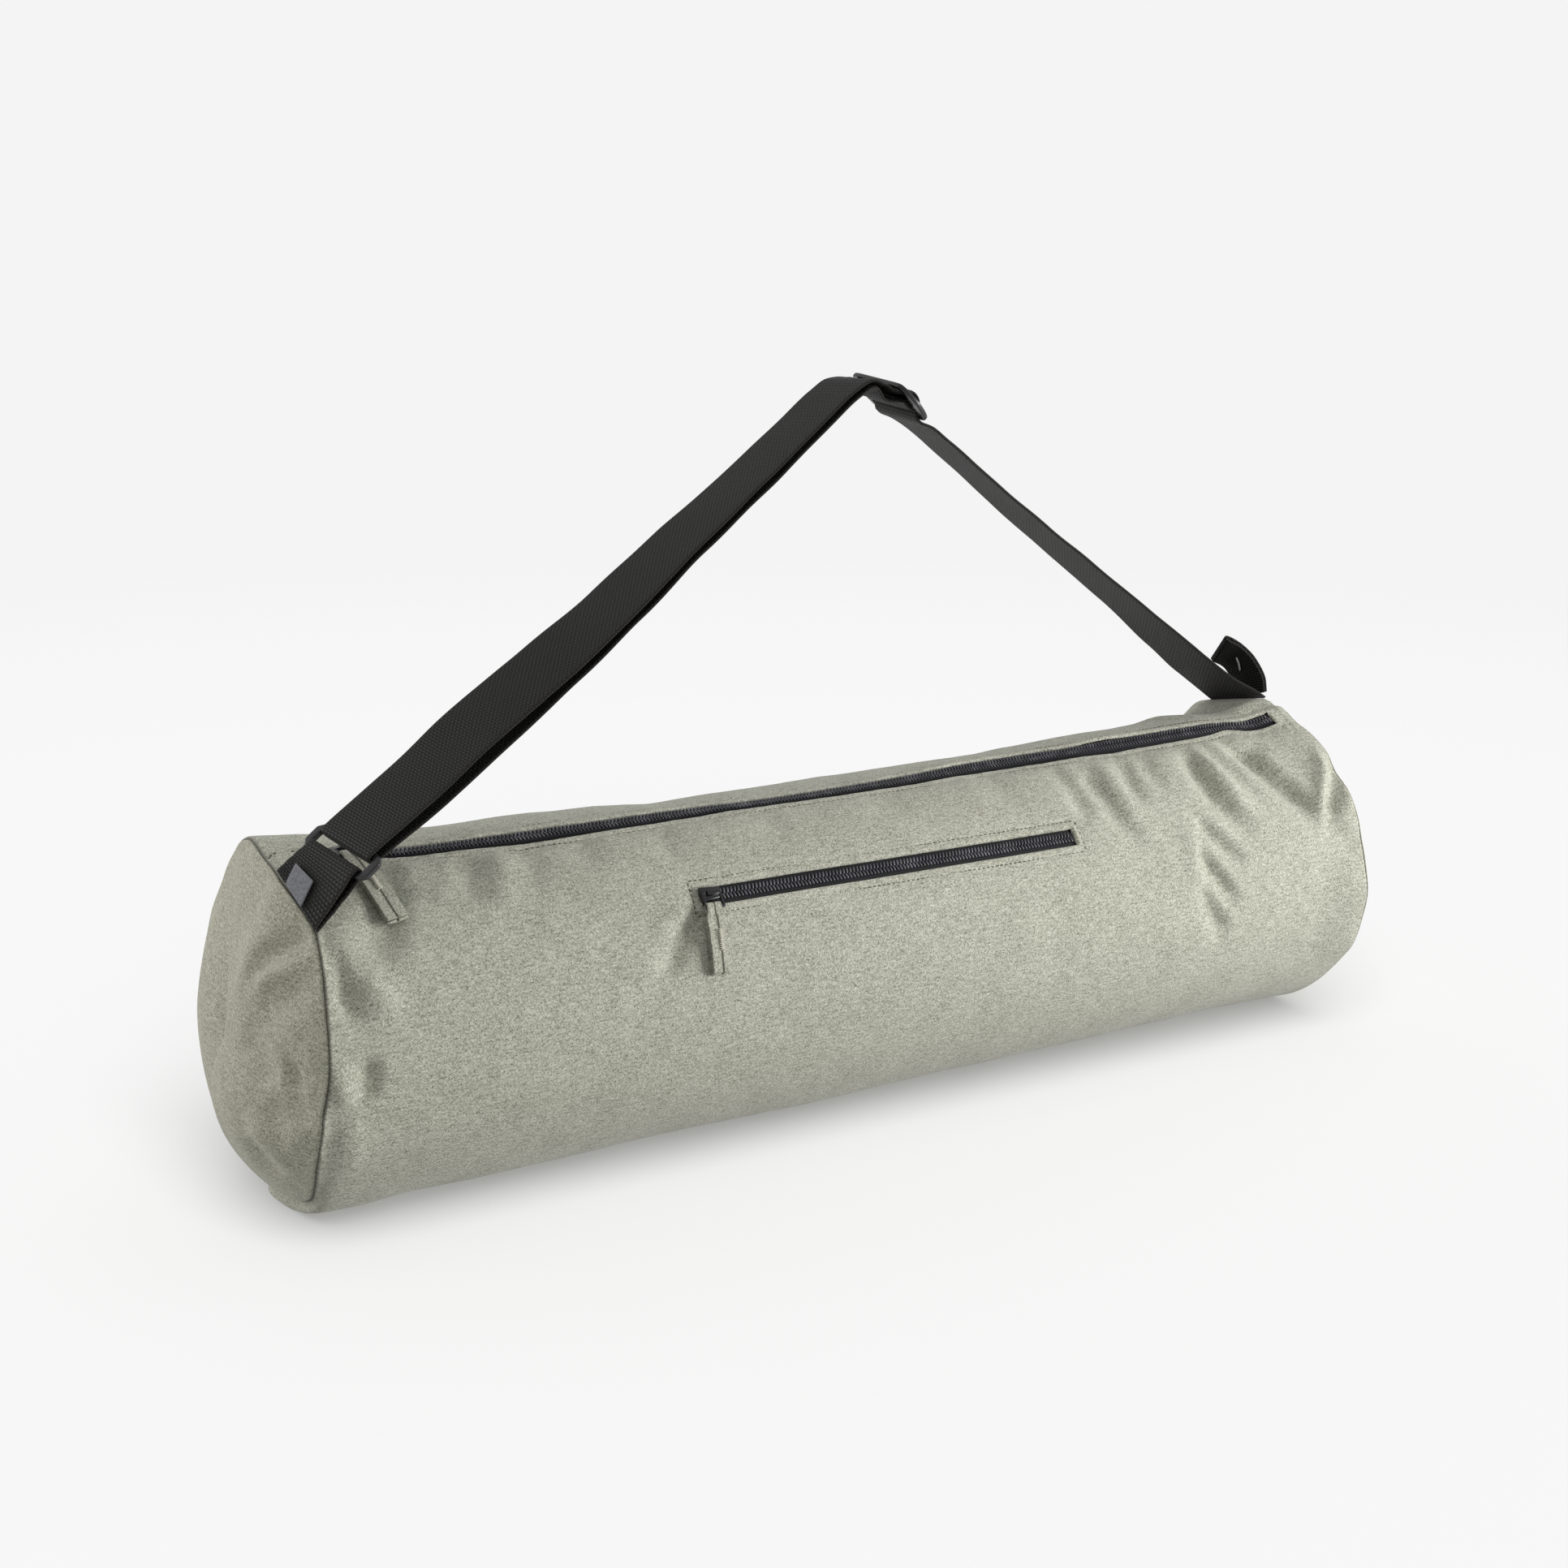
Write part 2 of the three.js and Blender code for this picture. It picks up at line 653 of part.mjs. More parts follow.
// A strip of body cloth folded through the bail, both layers hanging down the front
function zipPull(along, turn, length, lean) {
  const reach = fitGap + pullCloth / 2;
  const wireTop = bailBottom + bailHeight * 1.25 + reach;
  const wireNear = bailReach - bailWire - reach;
  const under = pullStandOff + pullCloth / 2;
  const over = under + pullCloth + fitGap;
  const neck = bailReach + pullCloth * 2;
  const full = neck + pullWidth / 2;
  const end = neck + length;
  const profile = [
    { down: end, out: under, width: pullWidth },
    { down: mix(full, end, 0.5), out: under, width: pullWidth },
    { down: full, out: under, width: pullWidth },
    { down: neck, out: under, width: pullNeck },
    { down: wireNear + reach * 0.6, out: bailBottom + bailHeight / 4 - reach * 1.1, width: pullNeck },
    { down: wireNear, out: bailBottom + bailHeight / 2, width: pullNeck },
    { down: wireNear, out: bailBottom + bailHeight, width: pullNeck },
    { down: wireNear + reach * 0.6, out: wireTop, width: pullNeck },
    { down: neck, out: Math.max(over, wireTop), width: pullNeck },
    { down: full, out: over, width: pullWidth },
    { down: mix(full, end, 0.5), out: over, width: pullWidth },
    { down: end, out: over, width: pullWidth },
  ];
  const tilt = Math.atan(lean);
  const onSlider = frameOn(along, turn);
  const stations = profile.map((spot) => {
    const there = turn + degrees(spot.down / bodyRadius);
    const slide = (spot.down - wireNear) * lean / halfLength;
    const free = spot.down >= neck;
    const here = frameOn(along, there);
    return {
      point: free ? bodyPoint(along + slide, there, -spot.out) : inFrame(onSlider, spot.down, spot.out),
      across: free ? here.x.applyAxisAngle(here.z, tilt) : onSlider.x,
      width: spot.width,
    };
  });
  return ribbonGeometry(stations, pullCloth);
}

// The strap's upright plane runs from the left tab's seam to the strap's right seam
const up = new THREE.Vector3(0, 0, 1);
const seamReach = 2;
const leftSeam = bodyPoint(-1 + seamReach / halfLength, tabTurn, -wrapReach);
const rightSeam = bodyPoint(1 - seamReach / halfLength, strapEndTurn, -wrapReach);
const heading = rightSeam.clone().sub(leftSeam).setZ(0).normalize();
const frontward = heading.clone().cross(up);

// A frame that goes along the strap, rolled and skewed: x across to the front, y along, z out
function strapFrame(origin, tilt, roll, skew = 0) {
  const y = heading.clone().applyAxisAngle(frontward, radians(tilt));
  const x = frontward.clone().applyAxisAngle(y, -radians(roll));
  const z = x.clone().cross(y);
  return { origin, x: x.applyAxisAngle(z, radians(skew)), y: y.applyAxisAngle(z, radians(skew)), z };
}

function inFrame(frame, y, z) {
  return frame.origin.clone().addScaledVector(frame.y, y).addScaledVector(frame.z, z);
}

// The way of a strip's middle line round a bar, from below it, past its far side, to above it
function aroundBar(frame, barY, side) {
  const step = Math.PI / 6;
  const reach = wrapReach / Math.cos(step / 2);
  const way = [{ y: -barWidth / 2, z: -barThick / 2 - reach }];
  for (const half of [-1, 1]) {
    for (let turn = 0; turn <= 3; turn += 1) {
      const angle = half < 0 ? -Math.PI / 2 + turn * step : turn * step;
      const y = barWidth / 2 + reach * Math.cos(angle);
      way.push({ y, z: half * barThick / 2 + reach * Math.sin(angle) });
    }
  }
  way.push({ y: -barWidth / 2, z: barThick / 2 + reach });
  return way.map((spot) => ({
    point: inFrame(frame, barY + side * spot.y, spot.z),
    across: frame.x,
    width: webbingWidth,
  }));
}

const ringRoll = -10;
const tabBase = strapFrame(leftSeam, tabRise, ringRoll);
const ringMiddle = inFrame(tabBase, tabLength + ringBarPitch / 2, layerPitch / 2);
const ringFrame = strapFrame(ringMiddle, tabRise, ringRoll);

// The tab's seam line follows the cap's seam, so its two edges differ in length
const tabHalfTurn = degrees(webbingWidth / 2 / bodyRadius);
const tabSeamLine = bodyPoint(-1, tabTurn + tabHalfTurn).sub(bodyPoint(-1, tabTurn - tabHalfTurn)).normalize();
const tabFold = aroundBar(ringFrame, -ringBarPitch / 2, 1);
const tabFoot = { point: inFrame(tabBase, 0, layerPitch), across: tabSeamLine, width: webbingWidth };

// Two layers of webbing sewn into the left seam and folded round the ring's lower bar
function anchorTab() {
  const low = { ...tabFoot, point: leftSeam };
  const high = tabFold[tabFold.length - 1];
  return ribbonGeometry([
    low, ...between(low, tabFold[0], 4), ...tabFold, ...between(high, tabFoot, 4), tabFoot,
  ], webbingThick, 4);
}

const ringTop = inFrame(ringFrame, ringBarPitch / 2, 0);

function onStrap(row, lower = 0) {
  const flat = blend(ringTop, rightSeam, row.span);
  const point = flat.addScaledVector(up, row.rise * strapRise);
  return { point, lower, roll: row.roll };
}

// Gives each point of a strap leg its direction across, and moves it below itself where asked
function strapStations(spots) {
  return spots.map((spot, index) => {
    const ahead = spots[Math.min(index + 1, spots.length - 1)].point;
    const behind = spots[Math.max(index - 1, 0)].point;
    const tilt = degrees(Math.asin(ahead.clone().sub(behind).normalize().z));
    const frame = strapFrame(spot.point, tilt, spot.roll);
    return { point: inFrame(frame, 0, -spot.lower), across: frame.x, width: webbingWidth };
  });
}

const buckleCentre = onStrap(buckle).point;
const buckleFrame = strapFrame(buckleCentre, buckle.tilt, buckle.roll, buckle.skew);

// The way of the outer layer through the buckle: under its first bar, over its middle, under its last
const throughBuckle = [
  { y: -12.1, z: -5.6 },
  { y: -8.6, z: -2.1 },
  { y: -5.8, z: 1.4 },
  { y: -3, z: 4.2 },
  { y: 0, z: 4.9 },
  { y: 3.1, z: 4.3 },
  { y: 5.8, z: 1.8 },
  { y: 7.5, z: -1.3 },
  { y: 9.7, z: -2.75 },
  { y: 11.9, z: -2.7 },
  { y: 13.6, z: -2.5 },
  { y: 20, z: -0.1 },
];

// The return layer comes up under the outer one to the buckle's middle bar
const intoBuckle = [
  { y: -10.2, z: -9 },
  { y: -6, z: -5.4 },
  { y: -3.2, z: -2.9 },
];

function buckleStations(spots) {
  return spots.map((spot) => ({
    point: inFrame(buckleFrame, spot.y, spot.z),
    across: buckleFrame.x,
    width: webbingWidth,
  }));
}

// One strip: right seam, buckle, down to the ring, round its upper bar and back to the buckle
function shoulderStrap() {
  const rightEnd = { point: rightSeam, roll: 12, lower: 0 };
  const right = strapStations([...rightLeg.map((row) => onStrap(row)), rightEnd]);
  const left = strapStations(leftLeg.map((row) => onStrap(row)));
  const back = strapStations(leftLeg.map((row) => onStrap(row, row.below * webbingWidth)));
  const outer = [...left, ...buckleStations(throughBuckle), ...right].reverse();
  const ringFold = aroundBar(ringFrame, ringBarPitch / 2, -1).reverse();
  const buckleFold = aroundBar(buckleFrame, 0, 1);
  const stations = [...outer, ...ringFold, ...back, ...buckleStations(intoBuckle), ...buckleFold];
  return ribbonGeometry(stations, webbingThick);
}

// The rectangular loop that joins the tab to the strap
function strapRing() {
  const slot = rectanglePath(hardwareSlot, ringBarPitch - barWidth, 0);
  const outline = crescentOutline(hardwareSlot, ringBarPitch + barWidth);
  return plateGeometry(outline, [slot], barThick);
}

// The three-bar buckle that sets the strap's length
function strapSlider() {
  const slots = [-1, 1].map((side) => (
    rectanglePath(hardwareSlot, sliderBarPitch - barWidth, side * sliderBarPitch / 2)
  ));
  return plateGeometry(crescentOutline(hardwareSlot, 2 * sliderBarPitch + barWidth), slots, barThick);
}

// The small folded label on the tab, sewn into the same seam
function sideLabel() {
  const ringEnd = tabFold[tabFold.length - 1];
  const run = ringEnd.point.clone().sub(tabFoot.point);
  const out = webbingThick / 2 + fitGap * 1.5 + labelThick / 2;
  const station = (reach, towardsBack) => {
    const share = reach / run.length();
    const across = blend(tabFoot.across, ringEnd.across, share).normalize();
    const face = across.clone().cross(run).normalize();
    const point = tabFoot.point.clone().addScaledVector(run, share);
    point.addScaledVector(across, -towardsBack).addScaledVector(face, out);
    return { point, across, width: labelWidth };
  };
  const slip = labelWidth / 5;
  const stations = lines(0, [{ to: 1, cells: 4 }]).map((share) => (
    station(seamReach + share * labelLength, slip + share * labelLength / 3)
  ));
  return ribbonGeometry(stations, labelThick, 2);
}

// The doubled carrying loop sewn in on top of the strap's right end
function endLoop() {
  const strapEnd = strapFrame(rightSeam, -tabRise, 12);
  const base = inFrame(strapEnd, 0, 1.5 * layerPitch)
    .addScaledVector(strapEnd.x, (webbingWidth - loopWidth) / 2);
  const middle = loopLine.map((row) => {
    const point = base.clone();
    point.x -= row.left * loopWidth;
    point.y += row.back * loopWidth;
    point.z += row.up * loopWidth;
    return { point, across: frontward.clone().applyAxisAngle(heading, -radians(row.roll)) };
  });
  const layer = (sideways) => middle.map((station, index) => {
    const ahead = middle[Math.min(index + 1, middle.length - 1)].point;
    const behind = middle[Math.max(index - 1, 0)].point;
    const face = ahead.clone().sub(behind).cross(station.across).normalize();
    const point = station.point.clone().addScaledVector(face, sideways * layerPitch / 2);
    return { point, across: station.across, width: loopWidth };
  });
  const tip = middle[middle.length - 1];
  const run = tip.point.clone().sub(middle[middle.length - 2].point).normalize();
  const turnOver = { point: tip.point.clone().addScaledVector(run, layerPitch * 0.7) };
  return ribbonGeometry([
    ...layer(1),
    { ...turnOver, across: tip.across, width: loopWidth },
    ...layer(-1).reverse(),
  ], webbingThick);
}

const zipSliderAlong = zipStart + sliderLength / bodyLength;
const zipSliderTurn = zipTurn(zipSliderAlong);
const pocketSliderAlong = pocketFrom + pocketSliderInset / halfLength;

addPiece('body_panel', bodyPanel(), materials.cloth);
addPiece('end_cap_left', endCap(-1), materials.cloth);
addPiece('end_cap_right', endCap(1), materials.cloth);
addPiece('main_zip_tape', zipTape(zipFirstRow, zipLastRow, zipColumn), materials.zipTape);
addPiece('main_zip_coil', zipCoil(zipFirstRow, zipLastRow, zipColumn), materials.zipCoil);
addPiece('main_zip_slider', zipSlider(), materials.gloss, frameOn(zipSliderAlong, zipSliderTurn));
addPiece('main_zip_pull', zipPull(zipSliderAlong, zipSliderTurn, mainPullLength, mainPullLean), materials.cloth);
addPiece('pocket_zip_tape', zipTape(pocketFirstRow, pocketLastRow, pocketColumn), materials.zipTape);
addPiece('pocket_zip_coil', zipCoil(pocketFirstRow, pocketLastRow, pocketColumn), materials.zipCoil);
addPiece('pocket_zip_slider', zipSlider(), materials.gloss, frameOn(pocketSliderAlong, pocketTurn));
addPiece('pocket_zip_pull', zipPull(pocketSliderAlong, pocketTurn, pocketPullLength, 0), materials.cloth);
addPiece('anchor_tab', anchorTab(), materials.webbing);
addPiece('strap_ring', strapRing(), materials.hardware, ringFrame);
addPiece('side_label', sideLabel(), materials.label);
addPiece('shoulder_strap', shoulderStrap(), materials.webbing);
addPiece('strap_slider', strapSlider(), materials.hardware, buckleFrame);
addPiece('end_loop', endLoop(), materials.webbing);

// Sets the bag's middle over the origin
const middle = new THREE.Box3().setFromObject(bag).getCenter(new THREE.Vector3());
for (const piece of bag.children) {
  piece.position.x -= middle.x;
  piece.position.y -= middle.y;
}

export default bag;
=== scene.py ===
# A soft canvas tube bag for a rolled mat, lying on its side under its standing webbing strap.
# Lengths here are millimetres, and each mesh is scaled to metres as it is finished.
# "turn" is an angle in degrees round the tube, from the top towards the front.
import json
import math

import bmesh
import bpy
import numpy as np
from mathutils import Matrix, Vector, noise

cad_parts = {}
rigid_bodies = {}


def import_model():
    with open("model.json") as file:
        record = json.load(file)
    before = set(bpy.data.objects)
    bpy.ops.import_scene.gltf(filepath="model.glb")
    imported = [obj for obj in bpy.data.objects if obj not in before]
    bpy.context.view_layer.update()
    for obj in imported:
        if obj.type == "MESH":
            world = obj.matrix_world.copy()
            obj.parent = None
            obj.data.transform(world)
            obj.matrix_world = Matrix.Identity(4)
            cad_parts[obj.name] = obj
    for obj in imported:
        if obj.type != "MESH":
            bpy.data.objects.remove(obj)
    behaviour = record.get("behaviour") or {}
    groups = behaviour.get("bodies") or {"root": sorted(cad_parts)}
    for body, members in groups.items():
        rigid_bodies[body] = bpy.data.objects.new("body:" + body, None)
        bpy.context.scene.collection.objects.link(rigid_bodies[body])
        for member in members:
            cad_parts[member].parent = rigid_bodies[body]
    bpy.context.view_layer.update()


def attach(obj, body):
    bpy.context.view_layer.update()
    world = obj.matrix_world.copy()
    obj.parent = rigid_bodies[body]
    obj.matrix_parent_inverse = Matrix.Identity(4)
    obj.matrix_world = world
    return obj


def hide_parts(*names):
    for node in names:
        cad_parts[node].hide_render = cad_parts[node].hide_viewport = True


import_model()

# The bag's main sizes, as in the solids
MM = 0.001
RADIUS = 85.0
HALF = 306.0
REST = 14.0
AXIS_Y = 1.0313
AXIS_Z = math.sqrt(RADIUS ** 2 - REST ** 2)
MIDDLE = Vector((0, AXIS_Y, AXIS_Z))
CAP_BULGE = 22.0
CLEARANCE = 0.3
WEBBING = 40.0
WEBBING_THICK = 1.6
STRAP_RISE = 194.0
PULL_WIDTH = 11.0

# The zips' openings along the bag, the pocket's place round it, and the hems beside them
MAIN_ZIP = (-277.2, 293.0)
POCKET_ZIP = (-113.5, 111.0)
POCKET_TURN = 50.4
POCKET_HALF = 4.7
HEM_ROLL = 1.3
HEM_MARGIN = 5.6
WINDOW_CORNER = 0.8
STITCH_OFF = 4.4

# The main zip's middle line along the bag, and half of the opening in the cloth beside it
ZIP_LINE = [
    (-306, 8.0), (-265, 8.7), (-252, 11.6), (-236, 12.6), (-220, 12.9), (-187, 13.3), (-160, 12.8),
    (-135, 12.3), (-116, 11.4), (-97, 10.2), (-78, 10.2), (-60, 10.9), (-22, 10.7), (18, 10.3), (39, 9.7),
    (61, 8.7), (83, 7.5), (106, 6.9), (128, 7.4), (160, 7.8), (196, 7.4), (220, 7.2), (246, 7.7),
    (258, 7.7), (272, 9.0), (284, 10.0), (306, 10.4),
]
ZIP_OPEN = [
    (-306, 4.4), (-277, 4.4), (-250, 4.4), (-219, 3.7), (-203, 4.6), (-170, 4.7), (-135, 4.2), (-97, 4.7),
    (-60, 4.2), (-41, 3.9), (-22, 4.4), (0, 4.7), (18, 4.4), (39, 4.7), (61, 4.5), (83, 5.0), (128, 5.3),
    (172, 5.4), (196, 4.5), (220, 4.2), (238, 3.7), (248, 3.0), (257, 2.1), (265, 2.7), (274, 4.2),
    (284, 4.6), (306, 4.2),
]
# How far behind the middle of the opening the coil lies
COIL_BACK = 0.8

# How far the cloth beside the main zip tips towards the front
ZIP_TILT = [
    (-306, 0), (-240, 0.5), (-170, 1.0), (-100, 1.2), (-60, 0.3), (0, 0.4), (40, 1.0), (80, 1.8), (120, 1.6),
    (150, 1.2), (180, 2.2), (250, 2.2), (262, 1.5), (306, 1.2),
]
TILT_REACH = 7.0

# The sag and swell of the top line against the plain tube, strongest at one turn and spread round it
TOP_LINE = [
    (-306, 0), (-202, 0), (-168, 0.1), (-150, -0.8), (-133, -1.0), (-114, -2.3), (-96, -3.8), (-78, -3.2),
    (-58, -2.8), (-38, -2.9), (-18, -2.6), (2, -2.0), (24, -1.7), (64, -1.2), (108, -0.9), (131, 0.8),
    (156, 1.8), (177, 2.5), (202, 3.1), (225, 4.2), (249, 5.6), (274, 5.9), (306, 6.0),
]
TOP_TURN = -14
TOP_SPREAD = 30

# How far the tube's back stands up near the left end, and the turns between which it rises and falls again
LEFT_RISE = [
    (-306, 6.0), (-298, 5.6), (-288, 4.8), (-274, 3.4), (-255, 1.7), (-232, 0.5), (-202, 0), (306, 0),
]
LEFT_RISE_TURNS = ((-80, -40), (-13, 5))

# The same as for the top line, for the lower edge as the camera sees it
LOW_LINE = [
    (-306, 2.2), (-281, 2.4), (-257, 1.5), (-215, 1.8), (-173, 1.2), (-128, 0.4), (-82, 0.7), (-33, 1.2),
    (16, 0.1), (70, -0.2), (126, -0.6), (182, -1.3), (246, -2.2), (294, -1.1), (306, -0.6),
]
LOW_TURN = 150
LOW_SPREAD = 16

# How far the left seam is pulled along the bag, by turn
LEFT_PULL = [
    (-180, -4.5), (-160, -1.0), (-140, 1.0), (-120, -0.5), (-100, -2.5), (-80, -5.0), (-65, -3.0),
    (-50, 1.5), (-35, 2.5), (-20, 0.5), (-5, 0), (17, 0), (30, 2.6), (40, 5.3), (46, 5.0), (54, 3.8),
    (66, 1.5), (75, 0.5), (84, -0.5), (90, -1.9), (100, -3.8), (116, -4.4), (130, -2.5), (145, 0),
    (160, -1.0), (170, -3.0), (180, -4.5),
]
LEFT_PULL_REACH = 37

# The tube's cloth rolls out over the left end under the cap's seam: outwards and inwards, by turn
LIP_OUT = [
    (-180, 0), (96, 0), (125, 2), (145, 7), (160, 9), (180, 10), (195, 6), (215, 1), (230, 0), (270, 0),
]
LIP_IN = [
    (-180, 0), (100, 0), (120, 2), (140, 4), (155, 7), (170, 9), (180, 8.5), (192, 6), (208, 2), (230, 0),
    (270, 0),
]
LIP_REACH = 18
LIP_SHARE = 0.9
LIP_LEAN = 0.8

# How softly the cloth meets the floor
FLOOR_SOFT = 0.9

# The cloth that the strap's right end pulls up into a pleat, by turn and by place along the bag
PLEAT = {"start": -31, "end": -1, "edge": 5, "from_x": 268, "to_x": 297}

# How far the cloth swells at the right end, by turn
RIGHT_SWELL = [
    (-180, 0), (-60, 0), (-8, 1.5), (2, 3.2), (8, 5.2), (15, 5.2), (26, 5.0), (40, 5.6), (52, 4.4), (62, 3.6),
    (71, 2.6), (80, 3.2), (90, 4.8), (101, 3.4), (112, 3.0), (122, 0.4), (132, -0.8), (160, 0), (180, 0),
]
SWELL_REACH = 34

# How many times deeper the folds are than their rows say, on the tube and on the left cap
FOLD_DEPTH = 2.0
CAP_FOLD_DEPTH = 1.9

# How far from an opening the folds reach their full depth, and their share at its edge
MAIN_CALM = 10
POCKET_CALM = 6
FOLD_AT_ZIP = 0.15

# Folds of the tube: the line as (x, turn), the depth at its middle, and its width to each side
FOLDS = [
    ([(243, 17), (257, 25), (263, 37), (271, 47), (277, 60)], -4.2, (12, 5.5)),
    ([(300, 30), (294, 40), (284, 53), (279, 63)], 1.6, (4, 5)),
    ([(309, 33), (300, 46), (289, 57), (284, 64)], -2.6, (6, 7)),
    ([(222, 13), (214, 30), (215, 44), (223, 53), (234, 62)], -2.9, (9, 6)),
    ([(226, 18), (225, 34), (229, 46), (238, 54)], 1.2, (6, 7)),
    ([(193, 49), (206, 61), (221, 72)], -2.3, (8, 4)),
    ([(188, 58), (198, 72), (213, 86)], -2.5, (8, 4)),
    ([(186, 74), (194, 86), (206, 99)], -2.0, (8, 5)),
    ([(186, 50), (187, 64), (183, 78)], 1.0, (7, 6)),
    ([(174, 14), (166, 31), (165, 44)], -1.5, (8, 6)),
    ([(147, 14), (143, 31), (145, 47), (156, 61)], -1.9, (9, 7)),
    ([(130, 12), (126, 24), (128, 38), (134, 48)], -1.2, (8, 6)),
    ([(190, 13), (184, 26), (183, 40)], -1.0, (8, 6)),
    ([(236, 12), (233, 24), (240, 38), (249, 50)], -1.4, (8, 6)),
    ([(158, 18), (153, 36), (157, 50)], 0.7, (7, 7)),
    ([(279, 62), (292, 68), (306, 72)], -1.0, (8, 8)),
    ([(243, 12), (252, 21), (274, 27)], -1.2, (6, 6)),
    ([(-299, 41), (-300, 54), (-301, 67)], 0.9, (4, 3.2)),
    ([(-303, 40), (-300, 52), (-297, 63), (-293, 73)], -2.1, (5.5, 5)),
    ([(-289, 50), (-283, 62), (-276, 74)], 0.9, (9, 9)),
    ([(-289, 58), (-281, 65), (-272, 70)], 1.4, (9, 9)),
    ([(-248, 21), (-262, 36), (-276, 49), (-287, 58)], -2.2, (13, 12)),
    ([(-248, 14), (-250, 25), (-257, 38), (-262, 50)], 1.2, (9, 9)),
    ([(-216, 16), (-222, 28), (-228, 42)], -1.1, (8, 9)),
    ([(-202, 18), (-206, 32), (-214, 46)], 0.8, (8, 8)),
    ([(-189, 14), (-190, 26), (-194, 38)], -0.7, (8, 8)),
    ([(-305, 84), (-300, 89), (-295, 96)], 1.8, (6, 6)),
    ([(-290, 81), (-287, 89), (-292, 97)], -2.4, (6, 5)),
    ([(-304, 93), (-301, 105), (-304, 117)], -1.0, (6, 6)),
    ([(-300, 98), (-293, 110), (-292, 124)], 0.8, (7, 8)),
    ([(-112, 53), (-122, 59), (-134, 68), (-146, 76)], -2.6, (8, 6)),
    ([(-118, 50), (-131, 57), (-145, 64)], 0.9, (7, 7)),
    ([(119, 48), (124, 40), (126, 30)], -0.7, (6, 6)),
    ([(-160, 12), (-160, 24), (-164, 36)], -0.7, (10, 9)),
    ([(-120, 14), (-118, 26), (-122, 40)], -0.6, (10, 10)),
    ([(-60, 12), (-58, 24), (-60, 38)], -0.5, (12, 10)),
    ([(10, 10), (12, 22), (9, 36)], -0.5, (12, 12)),
    ([(80, 9), (84, 22), (80, 38)], -0.6, (12, 12)),
    ([(262, -16), (276, -10), (300, -4)], -1.4, (6, 5)),
    ([(230, -22), (246, -8), (262, -3)], 0.8, (6, 6)),
    ([(-240, -20), (-190, -26), (-120, -24)], -0.8, (14, 12)),
]

# The left cap's swell beyond its plain dome, by turn
CAP_SWELL = [
    (-180, 8), (-150, 6), (-120, 5), (-95, 4), (-75, 1), (-58, -4), (-40, -9), (-15, -9), (10, -4), (30, 0),
    (90, 2), (120, 6), (150, 9), (180, 8),
]
# Its folds: the line as (turn, share of the way to the seam), the depth and the width
CAP_FOLDS = [
    ([(45, 1.02), (38, 0.76), (29, 0.5)], -3.0, 8),
    ([(50, 0.98), (46, 0.8), (42, 0.55)], 2.0, 6),
    ([(58, 0.95), (60, 0.7), (56, 0.5)], -1.8, 9),
    ([(60, 0.35), (80, 0.5), (98, 0.68)], -1.6, 12),
    ([(86, 0.84), (91, 0.72)], -2.6, 9),
    ([(80, 0.96), (84, 0.9)], 1.4, 6),
    ([(96, 0.98), (104, 0.8), (108, 0.6)], -1.4, 9),
    ([(108, 0.98), (114, 0.8)], 1.1, 8),
    ([(122, 0.55), (124, 0.75), (127, 0.94)], 1.5, 9),
    ([(135, 0.6), (140, 0.85)], -1.2, 10),
    ([(10, 0.97), (5, 0.75)], -0.9, 9),
    ([(-20, 0.9), (-10, 0.6)], 0.8, 12),
]


def curve(rows, at):
    """Smooth reading of a two-column table that never swings past its values."""
    keys = np.array([row[0] for row in rows], float)
    values = np.array([row[1] for row in rows], float)
    rise = np.diff(values) / np.diff(keys)
    before, after = rise[:-1], rise[1:]
    same_way = before * after > 0
    shared = 2 * before * after / np.where(same_way, before + after, 1)
    slopes = np.concatenate([[0], np.where(same_way, shared, 0), [0]])
    at = np.clip(np.asarray(at, float), keys[0], keys[-1])
    row = np.clip(np.searchsorted(keys, at) - 1, 0, len(keys) - 2)
    wide = keys[row + 1] - keys[row]
    share = (at - keys[row]) / wide
    low = (1 + 2 * share) * (1 - share) ** 2 * values[row] + share * (1 - share) ** 2 * wide * slopes[row]
    high = share ** 2 * (3 - 2 * share) * values[row + 1] + share ** 2 * (share - 1) * wide * slopes[row + 1]
    return low + high


def ramp(value, low, high):
    share = np.clip((np.asarray(value, float) - low) / (high - low), 0, 1)
    return share * share * (3 - 2 * share)


def arc(turn):
    return np.radians(turn) * RADIUS


def turn_of(length):
    """The turn that a length round the tube makes."""
    return np.degrees(length / RADIUS)


def joined(*values):
    """Places from the lists of their coordinates."""
    return np.stack(values, axis=-1)


def round_axis(reach, turn):
    """How far to the front and how far up a place lies, by its reach from the tube's axis."""
    return reach * np.sin(np.radians(turn)), reach * np.cos(np.radians(turn))


def wrapped(turn):
    """The same turn between -180 and 180."""
    return (np.asarray(turn, float) + 180) % 360 - 180


